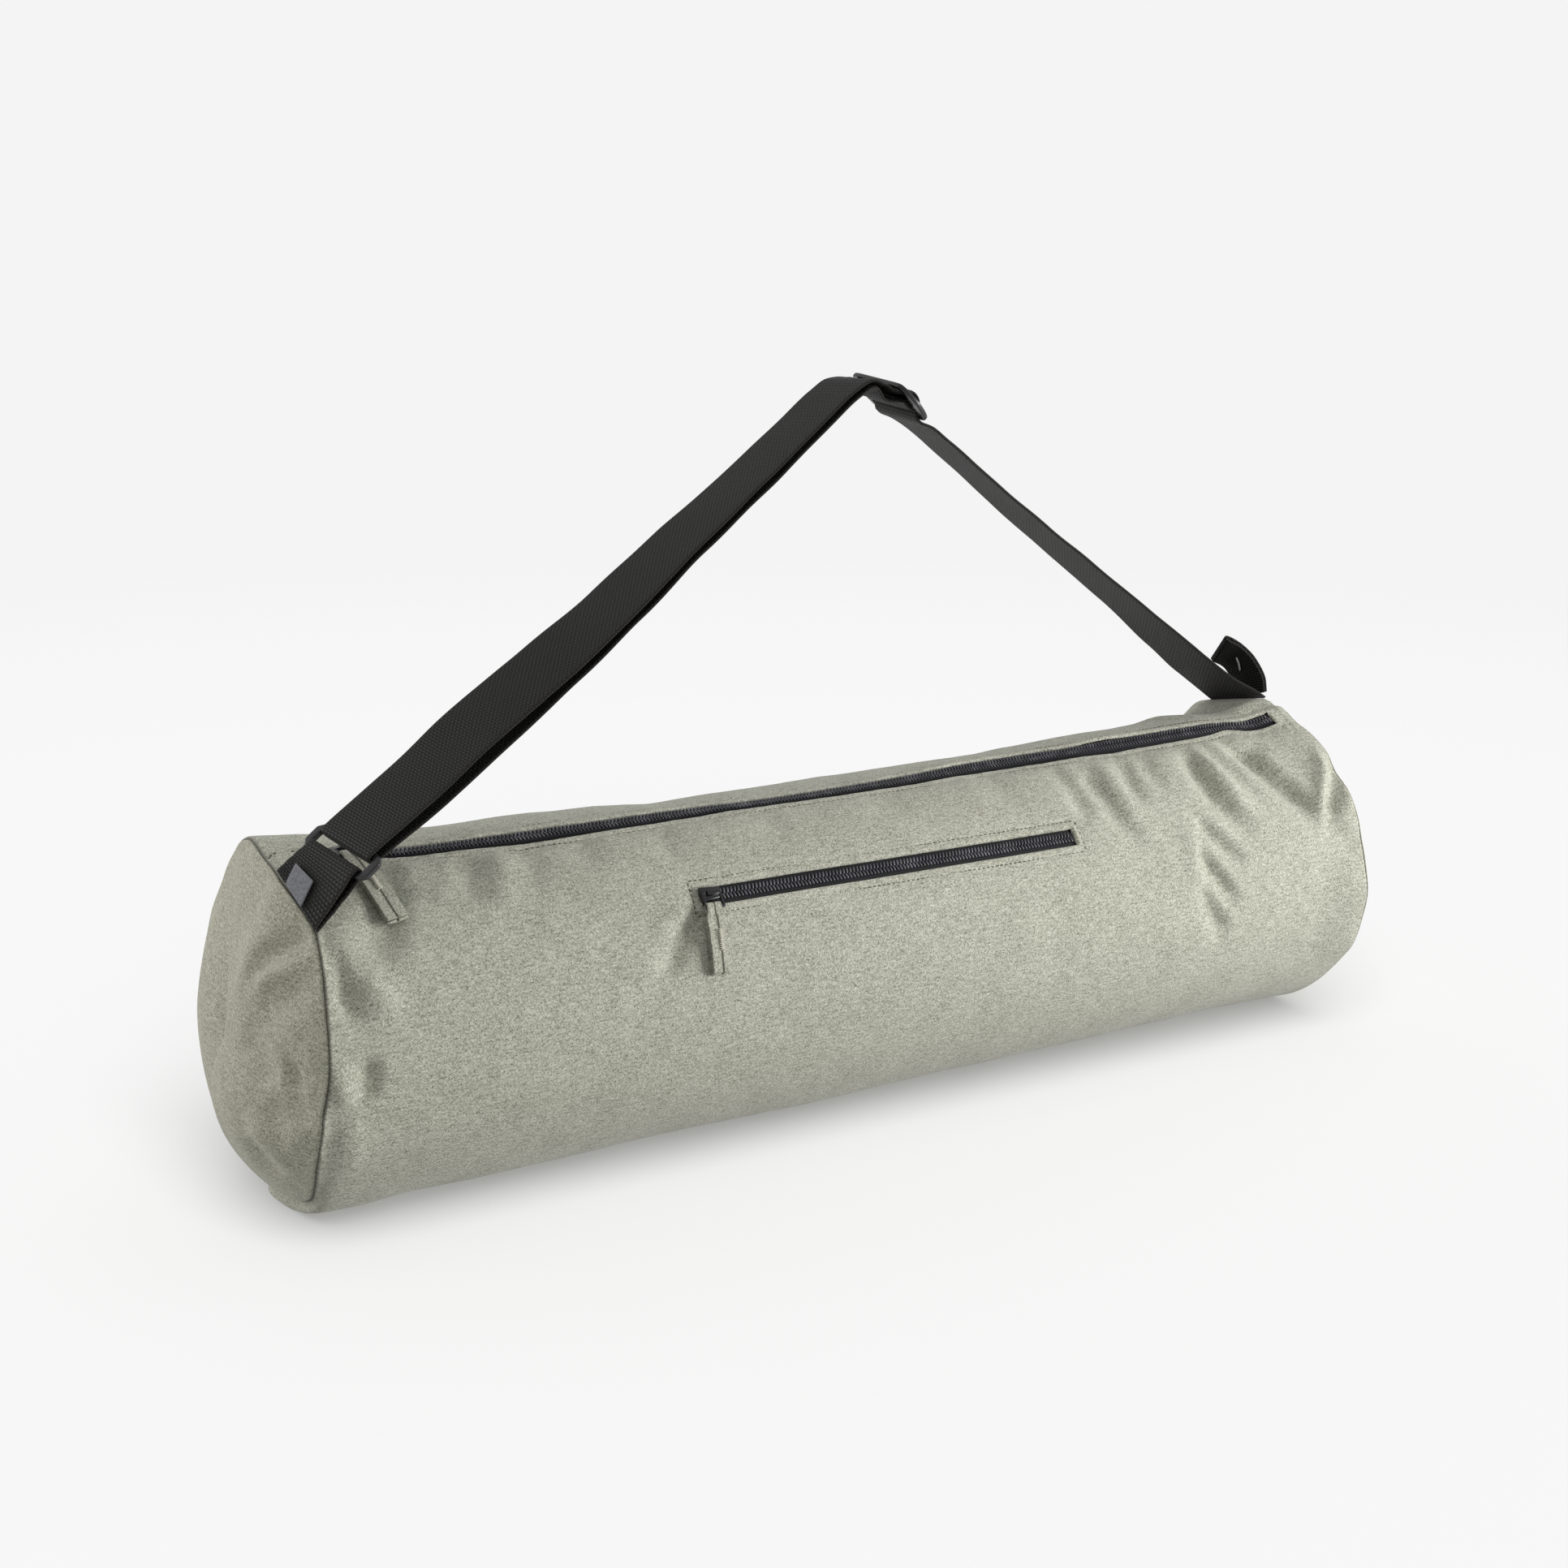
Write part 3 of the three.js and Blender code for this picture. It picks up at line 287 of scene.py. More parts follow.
def fold_lift(x, y, line, depth, width, taper=0.35):
    """Height of a fold over flat places; width is one number, or one for each side."""
    points = np.array(line, float)
    lengths = np.hypot(*np.diff(points, axis=0).T)
    starts = np.concatenate([[0], np.cumsum(lengths)])
    best = np.full(np.shape(x), 1e9)
    side = np.zeros(np.shape(x))
    place = np.zeros(np.shape(x))
    for index, length in enumerate(lengths):
        (ax, ay), (bx, by) = points[index], points[index + 1]
        dx, dy = (bx - ax) / length, (by - ay) / length
        run = np.clip((x - ax) * dx + (y - ay) * dy, 0, length)
        away = np.hypot(x - ax - run * dx, y - ay - run * dy)
        nearer = away < best
        best = np.where(nearer, away, best)
        side = np.where(nearer, (x - ax) * dy - (y - ay) * dx, side)
        place = np.where(nearer, starts[index] + run, place)
    share = place / starts[-1]
    ends = ramp(share, -0.05, taper) * ramp(1 - share, -0.05, taper)
    wide = np.where(side < 0, *width) if isinstance(width, tuple) else width
    q = best / wide
    return depth * ends * np.exp(-q ** 2) * (1 - 0.35 * q ** 2)


def unrolled(line):
    """A line of (x, turn) as flat places on the cloth."""
    return [(x, arc(turn)) for x, turn in line]


def zip_middle(x):
    return curve(ZIP_LINE, x)


def zip_half(x):
    return curve(ZIP_OPEN, x)


def box_distance(x, y, low, high, half, corner):
    """Distance of a place from a window with round corners; inside is negative."""
    dx = np.maximum(low - x, x - high) + corner
    dy = np.abs(y) - half + corner
    outside = np.hypot(np.maximum(dx, 0), np.maximum(dy, 0))
    return outside + np.minimum(np.maximum(dx, dy), 0) - corner


def zip_distance(x, turn):
    across = arc(wrapped(turn) - zip_middle(x))
    return box_distance(x, across, *MAIN_ZIP, zip_half(x), WINDOW_CORNER)


def pocket_distance(x, turn):
    return box_distance(x, arc(wrapped(turn) - POCKET_TURN), *POCKET_ZIP, POCKET_HALF, WINDOW_CORNER)


def rolled(distance, radius=HEM_ROLL):
    """How far cloth drops as it rolls over its folded edge."""
    inside = np.clip(1 - distance / radius, 0, 1)
    return radius * (1 - np.sqrt(np.maximum(1 - inside ** 2, 0)))


def swing(across):
    """Up on the back side of the zip and down on its front, by distance from its middle."""
    share = across / TILT_REACH
    return -share * np.exp(0.5 - 0.5 * share ** 2)


def cloth_lift(x, turn):
    """How far the cloth stands proud of the plain tube."""
    near = wrapped(turn)
    flat = arc(near)
    lift = curve(TOP_LINE, x) * np.exp(-((near - TOP_TURN) / TOP_SPREAD) ** 2)
    rises, falls = LEFT_RISE_TURNS
    lift = lift + curve(LEFT_RISE, x) * (1 - ramp(near, *falls)) * ramp(near, *rises)
    lift = lift + curve(ZIP_TILT, x) * swing(arc(near - zip_middle(x)))
    lift = lift + curve(LOW_LINE, x) * np.exp(-((near - LOW_TURN) / LOW_SPREAD) ** 2)
    lift = lift + curve(RIGHT_SWELL, near) * ramp(x, HALF - SWELL_REACH, HALF - 2)
    pulled = ramp(near, PLEAT["start"] - PLEAT["edge"], PLEAT["start"])
    pulled = pulled - ramp(near, PLEAT["end"], PLEAT["end"] + PLEAT["edge"])
    pulled = pulled * ramp(x, PLEAT["from_x"], PLEAT["to_x"])
    lift = lift + (seam_reach(np.clip(near, PLEAT["start"], PLEAT["end"])) - RADIUS - lift) * pulled
    calm = ramp(zip_distance(x, turn), 0, MAIN_CALM) * ramp(pocket_distance(x, turn), 0, POCKET_CALM)
    folds = 0
    for line, depth, width in FOLDS:
        folds = folds + fold_lift(x, flat, unrolled(line), depth, width)
    return lift + folds * FOLD_DEPTH * (FOLD_AT_ZIP + (1 - FOLD_AT_ZIP) * calm)


def body_point(x, turn, depth=0.0):
    """Places on the tube's cloth, as rows of x, y and z."""
    x = np.asarray(x, float)
    turn = np.asarray(turn, float)
    near = wrapped(turn)
    reach = RADIUS + cloth_lift(x, turn) - depth
    lip = ramp(-x, HALF - LIP_REACH, HALF)
    around = np.where(near < -90, near + 360, near)
    reach = reach - curve(LIP_IN, around) * lip ** 2
    end = ramp(-x, HALF - LEFT_PULL_REACH, HALF)
    out = curve(LIP_OUT, around) * np.sin(np.pi * np.clip(lip, 0, 1) ** LIP_LEAN) * LIP_SHARE
    front, up = round_axis(reach, turn)
    floor = np.maximum(depth, 0)
    over = AXIS_Z + up - floor
    height = floor + (over + np.sqrt(over ** 2 + FLOOR_SOFT ** 2)) / 2
    return joined(x + end * curve(LEFT_PULL, near) - out, AXIS_Y - front, height)


def surface(x, turn, height=0.0):
    """One place on the cloth as a Vector."""
    return Vector(body_point(np.array([float(x)]), np.array([float(turn)]), -height)[0])


# The strap's geometry, as the solids have it

LEFT_SEAM = Vector((-301.634, -39.920, 159.577))
RIGHT_SEAM = Vector((303.851, 26.053, 177.222))
UP = Vector((0, 0, 1))
HEADING = (RIGHT_SEAM - LEFT_SEAM).to_2d().to_3d().normalized()
FRONTWARD = HEADING.cross(UP)
BAR_WIDTH = 3.2
BAR_THICK = 2.6
RING_PITCH = 11.7
BUCKLE_PITCH = 11.2
TAB_LENGTH = 21.0
TAB_RISE = 37.0
RING_ROLL = -10
WRAP = CLEARANCE + WEBBING_THICK / 2
LAYER = WEBBING_THICK + CLEARANCE
TAB_SEAM_LINE = Vector((0.1270, -0.8726, -0.4716))

# The strap's legs: span, rise and roll, and on the left how far the return layer hangs below,
# as shares of the strap's sizes
LEFT_LEG = [
    (0.06, 0.135, -11, 0.16), (0.118, 0.259, -12, 0.17), (0.178, 0.372, -11, 0.12), (0.24, 0.498, -6, 0.092),
    (0.303, 0.639, -2, 0.09), (0.369, 0.78, 2, 0.09), (0.436, 0.929, 4, 0.09), (0.462, 0.986, 4, 0.09),
    (0.48, 1.014, 3, 0.09),
]
RIGHT_LEG = [
    (0.572, 0.862, -9), (0.632, 0.737, -9), (0.693, 0.609, -6), (0.758, 0.478, -4), (0.827, 0.34, -2),
    (0.898, 0.192, 3), (0.945, 0.096, 6),
]
RIGHT_ROLL = 12

# The slider's place, and the strap's way over and through it, as (along, outwards) in its own frame
BUCKLE_PLACE = (0.5255, 0.969)
CREST = (-16.6, -5.9)
THROUGH_BUCKLE = [
    (-12.6, -3.7), (-8.6, -2.1), (-5.8, 1.2), (-3, 3.8), (0, 4.5), (3.1, 3.9), (5.8, 1.5), (7.5, -1.3),
    (9.7, -2.75), (11.9, -2.6), (13.6, -2.2), (20, 0.8),
]
INTO_BUCKLE = [(-10.2, -9), (-6, -5.4), (-3.2, -2.9)]

# The carrying loop's middle line: left, back and up in loop widths, then its roll and skew
LOOP_WIDTH = 25.0
LOOP_LINE = [
    (0, 0, 0, 14, 0), (0.04, 0.02, 0.3, 18, 0), (0.24, 0.06, 0.68, 28, 8), (0.56, 0.1, 0.98, 38, 18),
    (0.89, 0.14, 1.15, 42, 24),
]


def turned(vector, axis, angle):
    return Matrix.Rotation(math.radians(angle), 3, axis) @ vector


def run_at(points, index):
    """From the place before one of the points to the place after it."""
    return points[min(index + 1, len(points) - 1)] - points[max(index - 1, 0)]


class Frame:
    """A place on the strap: x across to the front, y along it, z out of it."""

    def __init__(self, origin, tilt, roll, skew=0.0):
        y = turned(HEADING, FRONTWARD, tilt)
        x = turned(FRONTWARD, y, -roll)
        self.z = x.cross(y)
        self.x = turned(x, self.z, skew)
        self.y = turned(y, self.z, skew)
        self.origin = origin

    def at(self, y, z, x=0.0):
        return self.origin + self.x * x + self.y * y + self.z * z

    def matrix(self):
        placed = Matrix((self.x, self.y, self.z)).transposed().to_4x4()
        placed.translation = self.origin
        return placed


def station(point, across, width=WEBBING):
    return {"point": point, "across": across, "width": width}


def around_bar(place, bar_y, side):
    step = math.pi / 6
    reach = WRAP / math.cos(step / 2)
    way = [(-BAR_WIDTH / 2, -BAR_THICK / 2 - reach)]
    for half in (-1, 1):
        for turn in range(4):
            angle = turn * step - (math.pi / 2 if half < 0 else 0)
            way.append((BAR_WIDTH / 2 + reach * math.cos(angle),
                        half * BAR_THICK / 2 + reach * math.sin(angle)))
    way.append((-BAR_WIDTH / 2, BAR_THICK / 2 + reach))
    return [station(place.at(bar_y + side * y, z), place.x) for y, z in way]


TAB_BASE = Frame(LEFT_SEAM, TAB_RISE, RING_ROLL)
RING = Frame(TAB_BASE.at(TAB_LENGTH + RING_PITCH / 2, LAYER / 2), TAB_RISE, RING_ROLL)
RING_TOP = RING.at(RING_PITCH / 2, 0)


def on_strap(span, rise):
    return RING_TOP.lerp(RIGHT_SEAM, span) + UP * rise * STRAP_RISE


BUCKLE = Frame(on_strap(*BUCKLE_PLACE), -45, -8, -1.6)


def leg(spots):
    """Stations from (point, roll, how far below) along a free stretch of strap."""
    found = []
    points = [point for point, _, _ in spots]
    for index, (point, roll, below) in enumerate(spots):
        here = Frame(point, math.degrees(math.asin(run_at(points, index).normalized().z)), roll)
        found.append(station(here.at(0, -below), here.x))
    return found


def right_leg(rows):
    return leg([(on_strap(a, b), roll, 0) for a, b, roll in rows] + [(RIGHT_SEAM, RIGHT_ROLL, 0)])


def strap_stations():
    right = right_leg(RIGHT_LEG)
    left = leg([(on_strap(a, b), roll, 0) for a, b, roll, _ in LEFT_LEG])
    back = leg([(on_strap(a, b), roll, below * WEBBING) for a, b, roll, below in LEFT_LEG])
    through = [station(BUCKLE.at(y, z), BUCKLE.x) for y, z in THROUGH_BUCKLE]
    into = [station(BUCKLE.at(y, z), BUCKLE.x) for y, z in INTO_BUCKLE]
    crest = [station(BUCKLE.at(*CREST), left[-1]["across"].lerp(BUCKLE.x, 0.6).normalized())]
    outer = (left + crest + through + right)[::-1]
    return outer + around_bar(RING, RING_PITCH / 2, -1)[::-1] + back + into + around_bar(BUCKLE, 0, 1)


RIGHT_END = right_leg(RIGHT_LEG[-1:])[-1]
FOOT_SINK = 0.5


def seam_reach(turn):
    """How far from the tube's axis the underside of the strap's right end lies, by turn."""
    across = RIGHT_END["across"]
    out = Vector((0, -across.z, across.y))
    out = -out.normalized() if out.z < 0 else out.normalized()
    seat = RIGHT_END["point"] - MIDDLE - out * (WRAP - FOOT_SINK)
    bearing = np.radians(turn)
    return seat.dot(out) / (-np.sin(bearing) * out.y + np.cos(bearing) * out.z)


# Makers of meshes

def stops(start, *parts):
    """Lines from a start to each stop in turn, at about the step given with it."""
    found = [start]
    for end, step in parts:
        begin = found[-1]
        count = max(1, round(abs(end - begin) / step))
        found += [begin + (end - begin) * (cell + 1) / count for cell in range(count)]
    return np.array(found)


MERGE = 0.004


def cloth_grid(columns, rows, place, marks, keep=None):
    """An operator's grid laid over a shape: place and marks give each corner's spot and its UV."""
    bm = bmesh.new()
    bmesh.ops.create_grid(bm, x_segments=columns - 1, y_segments=rows - 1, size=0.5)
    corners = np.array([corner.co[:2] for corner in bm.verts]) + 0.5
    column = np.rint(corners[:, 0] * (columns - 1)).astype(int)
    row = np.rint(corners[:, 1] * (rows - 1)).astype(int)
    spots = place(column, row)
    chart = marks(column, row) * MM
    layer = bm.loops.layers.uv.new("cloth")
    gone = []
    for face in bm.faces:
        middle = face.calc_center_median()
        if keep and not keep(int((middle.x + 0.5) * (columns - 1)), int((middle.y + 0.5) * (rows - 1))):
            gone.append(face)
        for loop in face.loops:
            loop[layer].uv = chart[loop.vert.index]
    for corner, spot in zip(bm.verts, spots):
        corner.co = spot
    bmesh.ops.delete(bm, geom=gone, context="FACES")
    bmesh.ops.remove_doubles(bm, verts=bm.verts, dist=MERGE)
    return bm


def face_out(bm, centre):
    """Turns an open skin so that it faces away from a place inside it."""
    bm.faces.ensure_lookup_table()
    total = sum(face.normal.dot(face.calc_center_median() - centre) * face.calc_area() for face in bm.faces)
    if total < 0:
        bmesh.ops.reverse_faces(bm, faces=bm.faces)


def placed_object(bm, name, finish):
    mesh = bpy.data.meshes.new(name)
    bm.to_mesh(mesh)
    bm.free()
    mesh.materials.append(finish)
    made = bpy.data.objects.new(name, mesh)
    bpy.context.scene.collection.objects.link(made)
    return made


def piece(bm, name, finish, slot, *nodes):
    """Closes a bmesh as a piece in metres that rides on the bag."""
    bmesh.ops.scale(bm, vec=Vector((MM, MM, MM)), verts=bm.verts)
    bm.normal_update()
    made = placed_object(bm, name, finish)
    made.data.shade_smooth()
    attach(made, "root")
    if nodes:
        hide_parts(*nodes)
    return made


def smooth_path(stations, step):
    """Points, directions across and widths every step or so along a smooth line through stations."""
    points = [s["point"] for s in stations]
    found = []
    for index in range(len(points) - 1):
        p1, p2 = points[index], points[index + 1]
        p0 = points[index - 1] if index else p1 * 2 - p2
        p3 = points[index + 2] if index + 2 < len(points) else p2 * 2 - p1
        gaps = [max((b - a).length, 1e-6) ** 0.5 for a, b in ((p0, p1), (p1, p2), (p2, p3))]
        start = ((p1 - p0) / gaps[0] - (p2 - p0) / (gaps[0] + gaps[1]) + (p2 - p1) / gaps[1]) * gaps[1]
        end = ((p2 - p1) / gaps[1] - (p3 - p1) / (gaps[1] + gaps[2]) + (p3 - p2) / gaps[2]) * gaps[1]
        count = max(1, round((p2 - p1).length / step))
        last = index == len(points) - 2
        for cell in range(count + (1 if last else 0)):
            t = cell / count
            spot = (p1 * (2 * t ** 3 - 3 * t ** 2 + 1) + start * (t ** 3 - 2 * t ** 2 + t)
                    + p2 * (3 * t ** 2 - 2 * t ** 3) + end * (t ** 3 - t ** 2))
            ease = t * t * (3 - 2 * t)
            across = stations[index]["across"].lerp(stations[index + 1]["across"], ease)
            wide = stations[index]["width"] + (stations[index + 1]["width"] - stations[index]["width"]) * t
            found.append((spot, across.normalized(), wide))
    return found


# A ribbon's section, as shares of its width and of half its thickness
ROUND_EDGE = [
    (-0.5, 0), (-0.494, 0.6), (-0.478, 0.95), (-0.45, 1), (-0.3, 1), (-0.15, 1), (0, 1), (0.15, 1), (0.3, 1),
    (0.45, 1), (0.478, 0.95), (0.494, 0.6), (0.5, 0),
]


def strip(stations, thick, step=1.6, profile=ROUND_EDGE, under=None, waver=0.0, seed=0.0):
    """A ribbon along stations, with one profile above and maybe another under it."""
    path = smooth_path(stations, step)
    under = under or profile
    section = profile + [(share, -high) for share, high in under[-2:0:-1]] + [profile[0]]
    spots, run = [], [0.0]
    points = [spot for spot, _, _ in path]
    for index, (spot, across, wide) in enumerate(path):
        face = run_at(points, index).normalized().cross(across).normalized()
        if index:
            run.append(run[-1] + (spot - points[index - 1]).length)
        sway = waver * noise.noise(Vector((run[-1] * 0.02, seed, 0)))
        curl = waver * noise.noise(Vector((run[-1] * 0.035, seed + 9, 0)))
        ring = []
        for share, high in section:
            lift = high * thick / 2 + curl * (share * 2) ** 2
            ring.append(spot + across * (share * wide + sway) + face * lift)
        spots.append(ring)
    spots = np.array(spots)
    run = np.array(run)
    girth = np.array([share for share, _ in section]) * path[0][2]
    girth[len(profile):] = girth[len(profile):] + 2 * path[0][2]
    bm = cloth_grid(len(path), len(section), lambda i, j: spots[i, j], lambda i, j: joined(run[i], girth[j]))
    ends = [edge for edge in bm.edges if edge.is_boundary]
    bmesh.ops.holes_fill(bm, edges=ends, sides=0)
    bmesh.ops.recalc_face_normals(bm, faces=bm.faces)
    return bm


# Shaders: values that take Python's operators, and one way of making any node

def operators(operation):
    """A sum of two values, and the same with the value on the right."""
    return (lambda self, other: self.maths(operation, self, other),
            lambda self, other: self.maths(operation, other, self))


class Field:
    """A value in a finish, on which sums are written as in Python."""

    __add__, __radd__ = operators("ADD")
    __sub__, __rsub__ = operators("SUBTRACT")
    __mul__, __rmul__ = operators("MULTIPLY")

    def __init__(self, finish, socket):
        self.finish = finish
        self.socket = socket

    def maths(self, operation, *values):
        return self.finish.node("ShaderNodeMath", {"operation": operation}, dict(enumerate(values)))

    def wave(self, length):
        """A sine along the value, of that wavelength in metres."""
        return self.maths("SINE", self * (2 * math.pi / length))

    def size(self):
        return self.maths("ABSOLUTE", self)

    def between(self, low, high):
        return self.onto(low, high, 0.0, 1.0)

    def onto(self, low, high, first, last):
        return self.finish.node("ShaderNodeMapRange", {"clamp": True},
                                {0: self, 1: low, 2: high, 3: first, 4: last})


class Finish:
    """A material on the Principled shader, or a world's light on its Background."""

    def __init__(self, name, holders="materials", shader="Principled BSDF", **constants):
        self.material = getattr(bpy.data, holders).new(name)
        self.material.use_nodes = True
        self.tree = self.material.node_tree
        self.shader = self.tree.nodes[shader]
        for socket, value in constants.items():
            self.feed(socket.replace("_", " "), value)

    def feed(self, socket, value):
        self.join(value, self.shader.inputs[socket])

    def join(self, value, socket):
        if isinstance(value, Field):
            self.tree.links.new(value.socket, socket)
        else:
            socket.default_value = value

    def node(self, kind, settings=None, values=None, output=0):
        made = self.tree.nodes.new(kind)
        for name, setting in (settings or {}).items():
            setattr(made, name, setting)
        for socket, value in (values or {}).items():
            self.join(value, made.inputs[socket])
        return Field(self, made.outputs[output])

    def chart(self):
        """The piece's own two coordinates, along and across, in metres."""
        spot = self.node("ShaderNodeUVMap", {"uv_map": "cloth"})
        return [self.node("ShaderNodeSeparateXYZ", None, {0: spot}, axis) for axis in (0, 1)]

    def place(self):
        return self.node("ShaderNodeTexCoord", None, None, 3)

    def spread(self, x, y, z=0.0):
        return self.node("ShaderNodeCombineXYZ", None, {0: x, 1: y, 2: z})

    def grain(self, where, detail, scale=1.0):
        return self.node("ShaderNodeTexNoise", None, {"Vector": where, "Scale": scale, "Detail": detail})

    def mix(self, share, first, second):
        return self.node("ShaderNodeMix", {"data_type": "RGBA"}, {0: share, 6: first, 7: second}, 2)

    def relief(self, height, depth, strength=1.0):
        self.feed("Normal", self.node("ShaderNodeBump", None, {"Height": height, "Distance": depth,
                                                               "Strength": strength}))


def shade(red, green, blue):
    """A colour from its parts as a screen shows them, 0 to 255."""
    return tuple((part / 255 / 12.92) if part < 11 else ((part / 255 + 0.055) / 1.055) ** 2.4
                 for part in (red, green, blue)) + (1.0,)


# Canvas: cells of mottle in a metre of one thread, the step in them to the next thread, the colour of the
# shade painted into seams, and the reach from a pull's middle within which shade is painted into its crease
THREAD_MOTTLE = 1000
NEXT_THREAD = 5.3
SEAM_SHADE = shade(40, 38, 28)
CREASE_SHADE_REACH = (0.0003, 0.0008)


def canvas(name, dark, light, pitch=0.0013, seam=None):
    """Plain weave of two-tone thread; seam gives the chart's reach over which shade is painted into the cloth
    where it dips into a seam, and on a pull along its edges and into its middle crease.
    """
    finish = Finish(name, Roughness=0.88, Specular_IOR_Level=0.3, Sheen_Weight=0.12, Sheen_Roughness=0.5)
    u, v = finish.chart()
    weave = u.wave(pitch) * v.wave(pitch)
    weft_number, warp_number = (way.maths("FLOOR", way * (2 / pitch)) for way in (u, v))
    warp = finish.grain(finish.spread(u * THREAD_MOTTLE, warp_number * NEXT_THREAD), 1.0)
    weft = finish.grain(finish.spread(weft_number * NEXT_THREAD, v * THREAD_MOTTLE, 7.0), 1.0)
    warp_on_top = weave.between(-0.15, 0.15)
    threads = warp * warp_on_top + weft * (1.0 - warp_on_top)
    slub = finish.grain(finish.spread(u * 150, v * 900, 5.0), 2.0)
    cloud = finish.grain(finish.spread(u * 45, v * 45, 3.0), 3.0)
    tone = (threads - 0.5) * 2.5 + (slub - 0.5) * 0.8 + (cloud - 0.5) * 0.25 + 0.5
    colour = finish.mix(tone.between(-0.25, 1.25), dark, light)
    # Painted shade: the colour darkens towards the seam's shadow colour where the cloth dips into a seam
    if seam:
        reach = {"along": u, "across": v.maths("WRAP", v, PULL_WIDTH * MM, -PULL_WIDTH * MM)}.get(seam[0])
        reach = reach.size() if reach else finish.node(
            "ShaderNodeVectorMath", {"operation": "LENGTH"}, {0: finish.spread(u, v)}, 1)
        painted_seam_shade = reach.between(seam[1], seam[2])
        # On a pull, shade is painted along both its edges and into the crease of its middle fold
        if seam[0] == "across":
            painted_seam_shade = painted_seam_shade * 0.6 + (1.0 - reach.between(*CREASE_SHADE_REACH))
        colour = finish.mix(painted_seam_shade * 0.8, colour, SEAM_SHADE)
    finish.feed("Base Color", colour)
    finish.relief(weave * 0.5 + threads * 0.6, 0.00011, 0.6)
    return finish.material


# Webbing: the ribs' pitch along it, the cells' across it, and where its selvedges begin
RIB_PITCH = 0.0030
CELL_PITCH = 0.0026
SELVEDGE = (0.0184, 0.0194)


def webbing(name, dark, light):
    finish = Finish(name, Roughness=0.62, Specular_IOR_Level=0.26, Sheen_Weight=0.04, Sheen_Roughness=0.4)
    u, v = finish.chart()
    rib = u.wave(RIB_PITCH)
    cell = (rib * v.wave(CELL_PITCH)).between(-0.6, 0.9)
    grain = finish.grain(finish.spread(u * 900, v * 900), 2.0)
    raised = rib.size() * 0.55 + cell * 0.35 + grain * 0.25
    selvedge = v.maths("WRAP", v, WEBBING * MM, -WEBBING * MM).size().between(*SELVEDGE)
    # Rib tops and cell peaks are painted lighter as highlight; the paler selvedges and the grain are the
    # webbing's own colour
    finish.feed("Base Color", finish.mix(raised.between(0.35, 1.05) + selvedge * 0.7, dark, light))
    finish.relief(raised, 0.0005, 1.0)
    return finish.material


def woven_tape(name, dark, light):
    finish = Finish(name, Roughness=0.7, Specular_IOR_Level=0.3)
    u, v = finish.chart()
    raised = v.wave(0.0016).size() * 0.7 + u.wave(0.0012) * 0.2
    grain = finish.grain(finish.spread(u * 700, v * 700), 2.0)
    finish.feed("Base Color", finish.mix((raised * 0.7 + grain * 0.5).between(0.2, 1.0), dark, light))
    finish.relief(raised + grain * 0.3, 0.0002, 0.7)
    return finish.material


def moulded(name, colour, paler, rough, **constants):
    finish = Finish(name, **constants)
    grain = finish.grain(finish.place(), 3.0, 900.0)
    wear = finish.grain(finish.place(), 3.0, 120.0)
    finish.feed("Base Color", finish.mix(wear.between(0.45, 0.75), colour, paler))
    finish.feed("Roughness", grain * 0.12 + (rough - 0.06))
    finish.relief(grain, 0.00004, 0.5)
    return finish.material


def thread(name, dark, light):
    finish = Finish(name, Roughness=0.75, Sheen_Weight=0.2)
    ply = finish.grain(finish.place(), 2.0, 1600.0)
    finish.feed("Base Color", finish.mix(ply.between(0.35, 0.65), dark, light))
    finish.relief(ply, 0.0001, 0.6)
    return finish.material


SAGE = (shade(96, 94, 76), shade(226, 227, 211))
# The tube's cloth has shade painted into its seams at both ends; the caps' cloth has shade painted into the
# seam round their rim
TUBE_CANVAS = canvas("sage_tube_canvas", *SAGE, seam=("along", 0.3046, 0.3058))
END_CANVAS = canvas("sage_end_canvas", shade(98, 96, 76), shade(224, 223, 204), seam=("out", 0.0838, 0.0848))
# The lighter of the two colours is the painted highlight on the rib tops and the webbing's own paler selvedge
# thread
WEBBING_BLACK = webbing("black_webbing", shade(2, 2, 2), shade(36, 34, 30))
TAPE = woven_tape("zip_tape", shade(10, 10, 12), shade(36, 36, 41))
TEETH = moulded("zip_teeth", shade(72, 72, 78), shade(120, 120, 126), 0.33, Specular_IOR_Level=0.6)
SATIN = moulded("satin_hardware", shade(38, 38, 39), shade(50, 50, 51), 0.28, Specular_IOR_Level=0.5)
GLOSS = moulded("gloss_slider", shade(18, 18, 20), shade(26, 26, 28), 0.2, Specular_IOR_Level=0.7)
# The pull's cloth has shade painted along its edges and into its middle crease
PULL_CANVAS = canvas("sage_pull_canvas", *SAGE, seam=("across", 0.0046, 0.0056))
LABEL = canvas("grey_label", shade(100, 101, 105), shade(160, 161, 165), 0.0012)
# The stitch thread is darker than the cloth, partly as painted shade of the stitch lines sunk into it
SAGE_THREAD = thread("sage_thread", shade(62, 61, 48), shade(112, 110, 92))
BEIGE_THREAD = thread("beige_thread", shade(184, 181, 160), shade(220, 218, 202))
PALE_THREAD = thread("pale_thread", shade(226, 226, 223), shade(252, 252, 250))


# The tube

SEAM_ROLL = 1.9

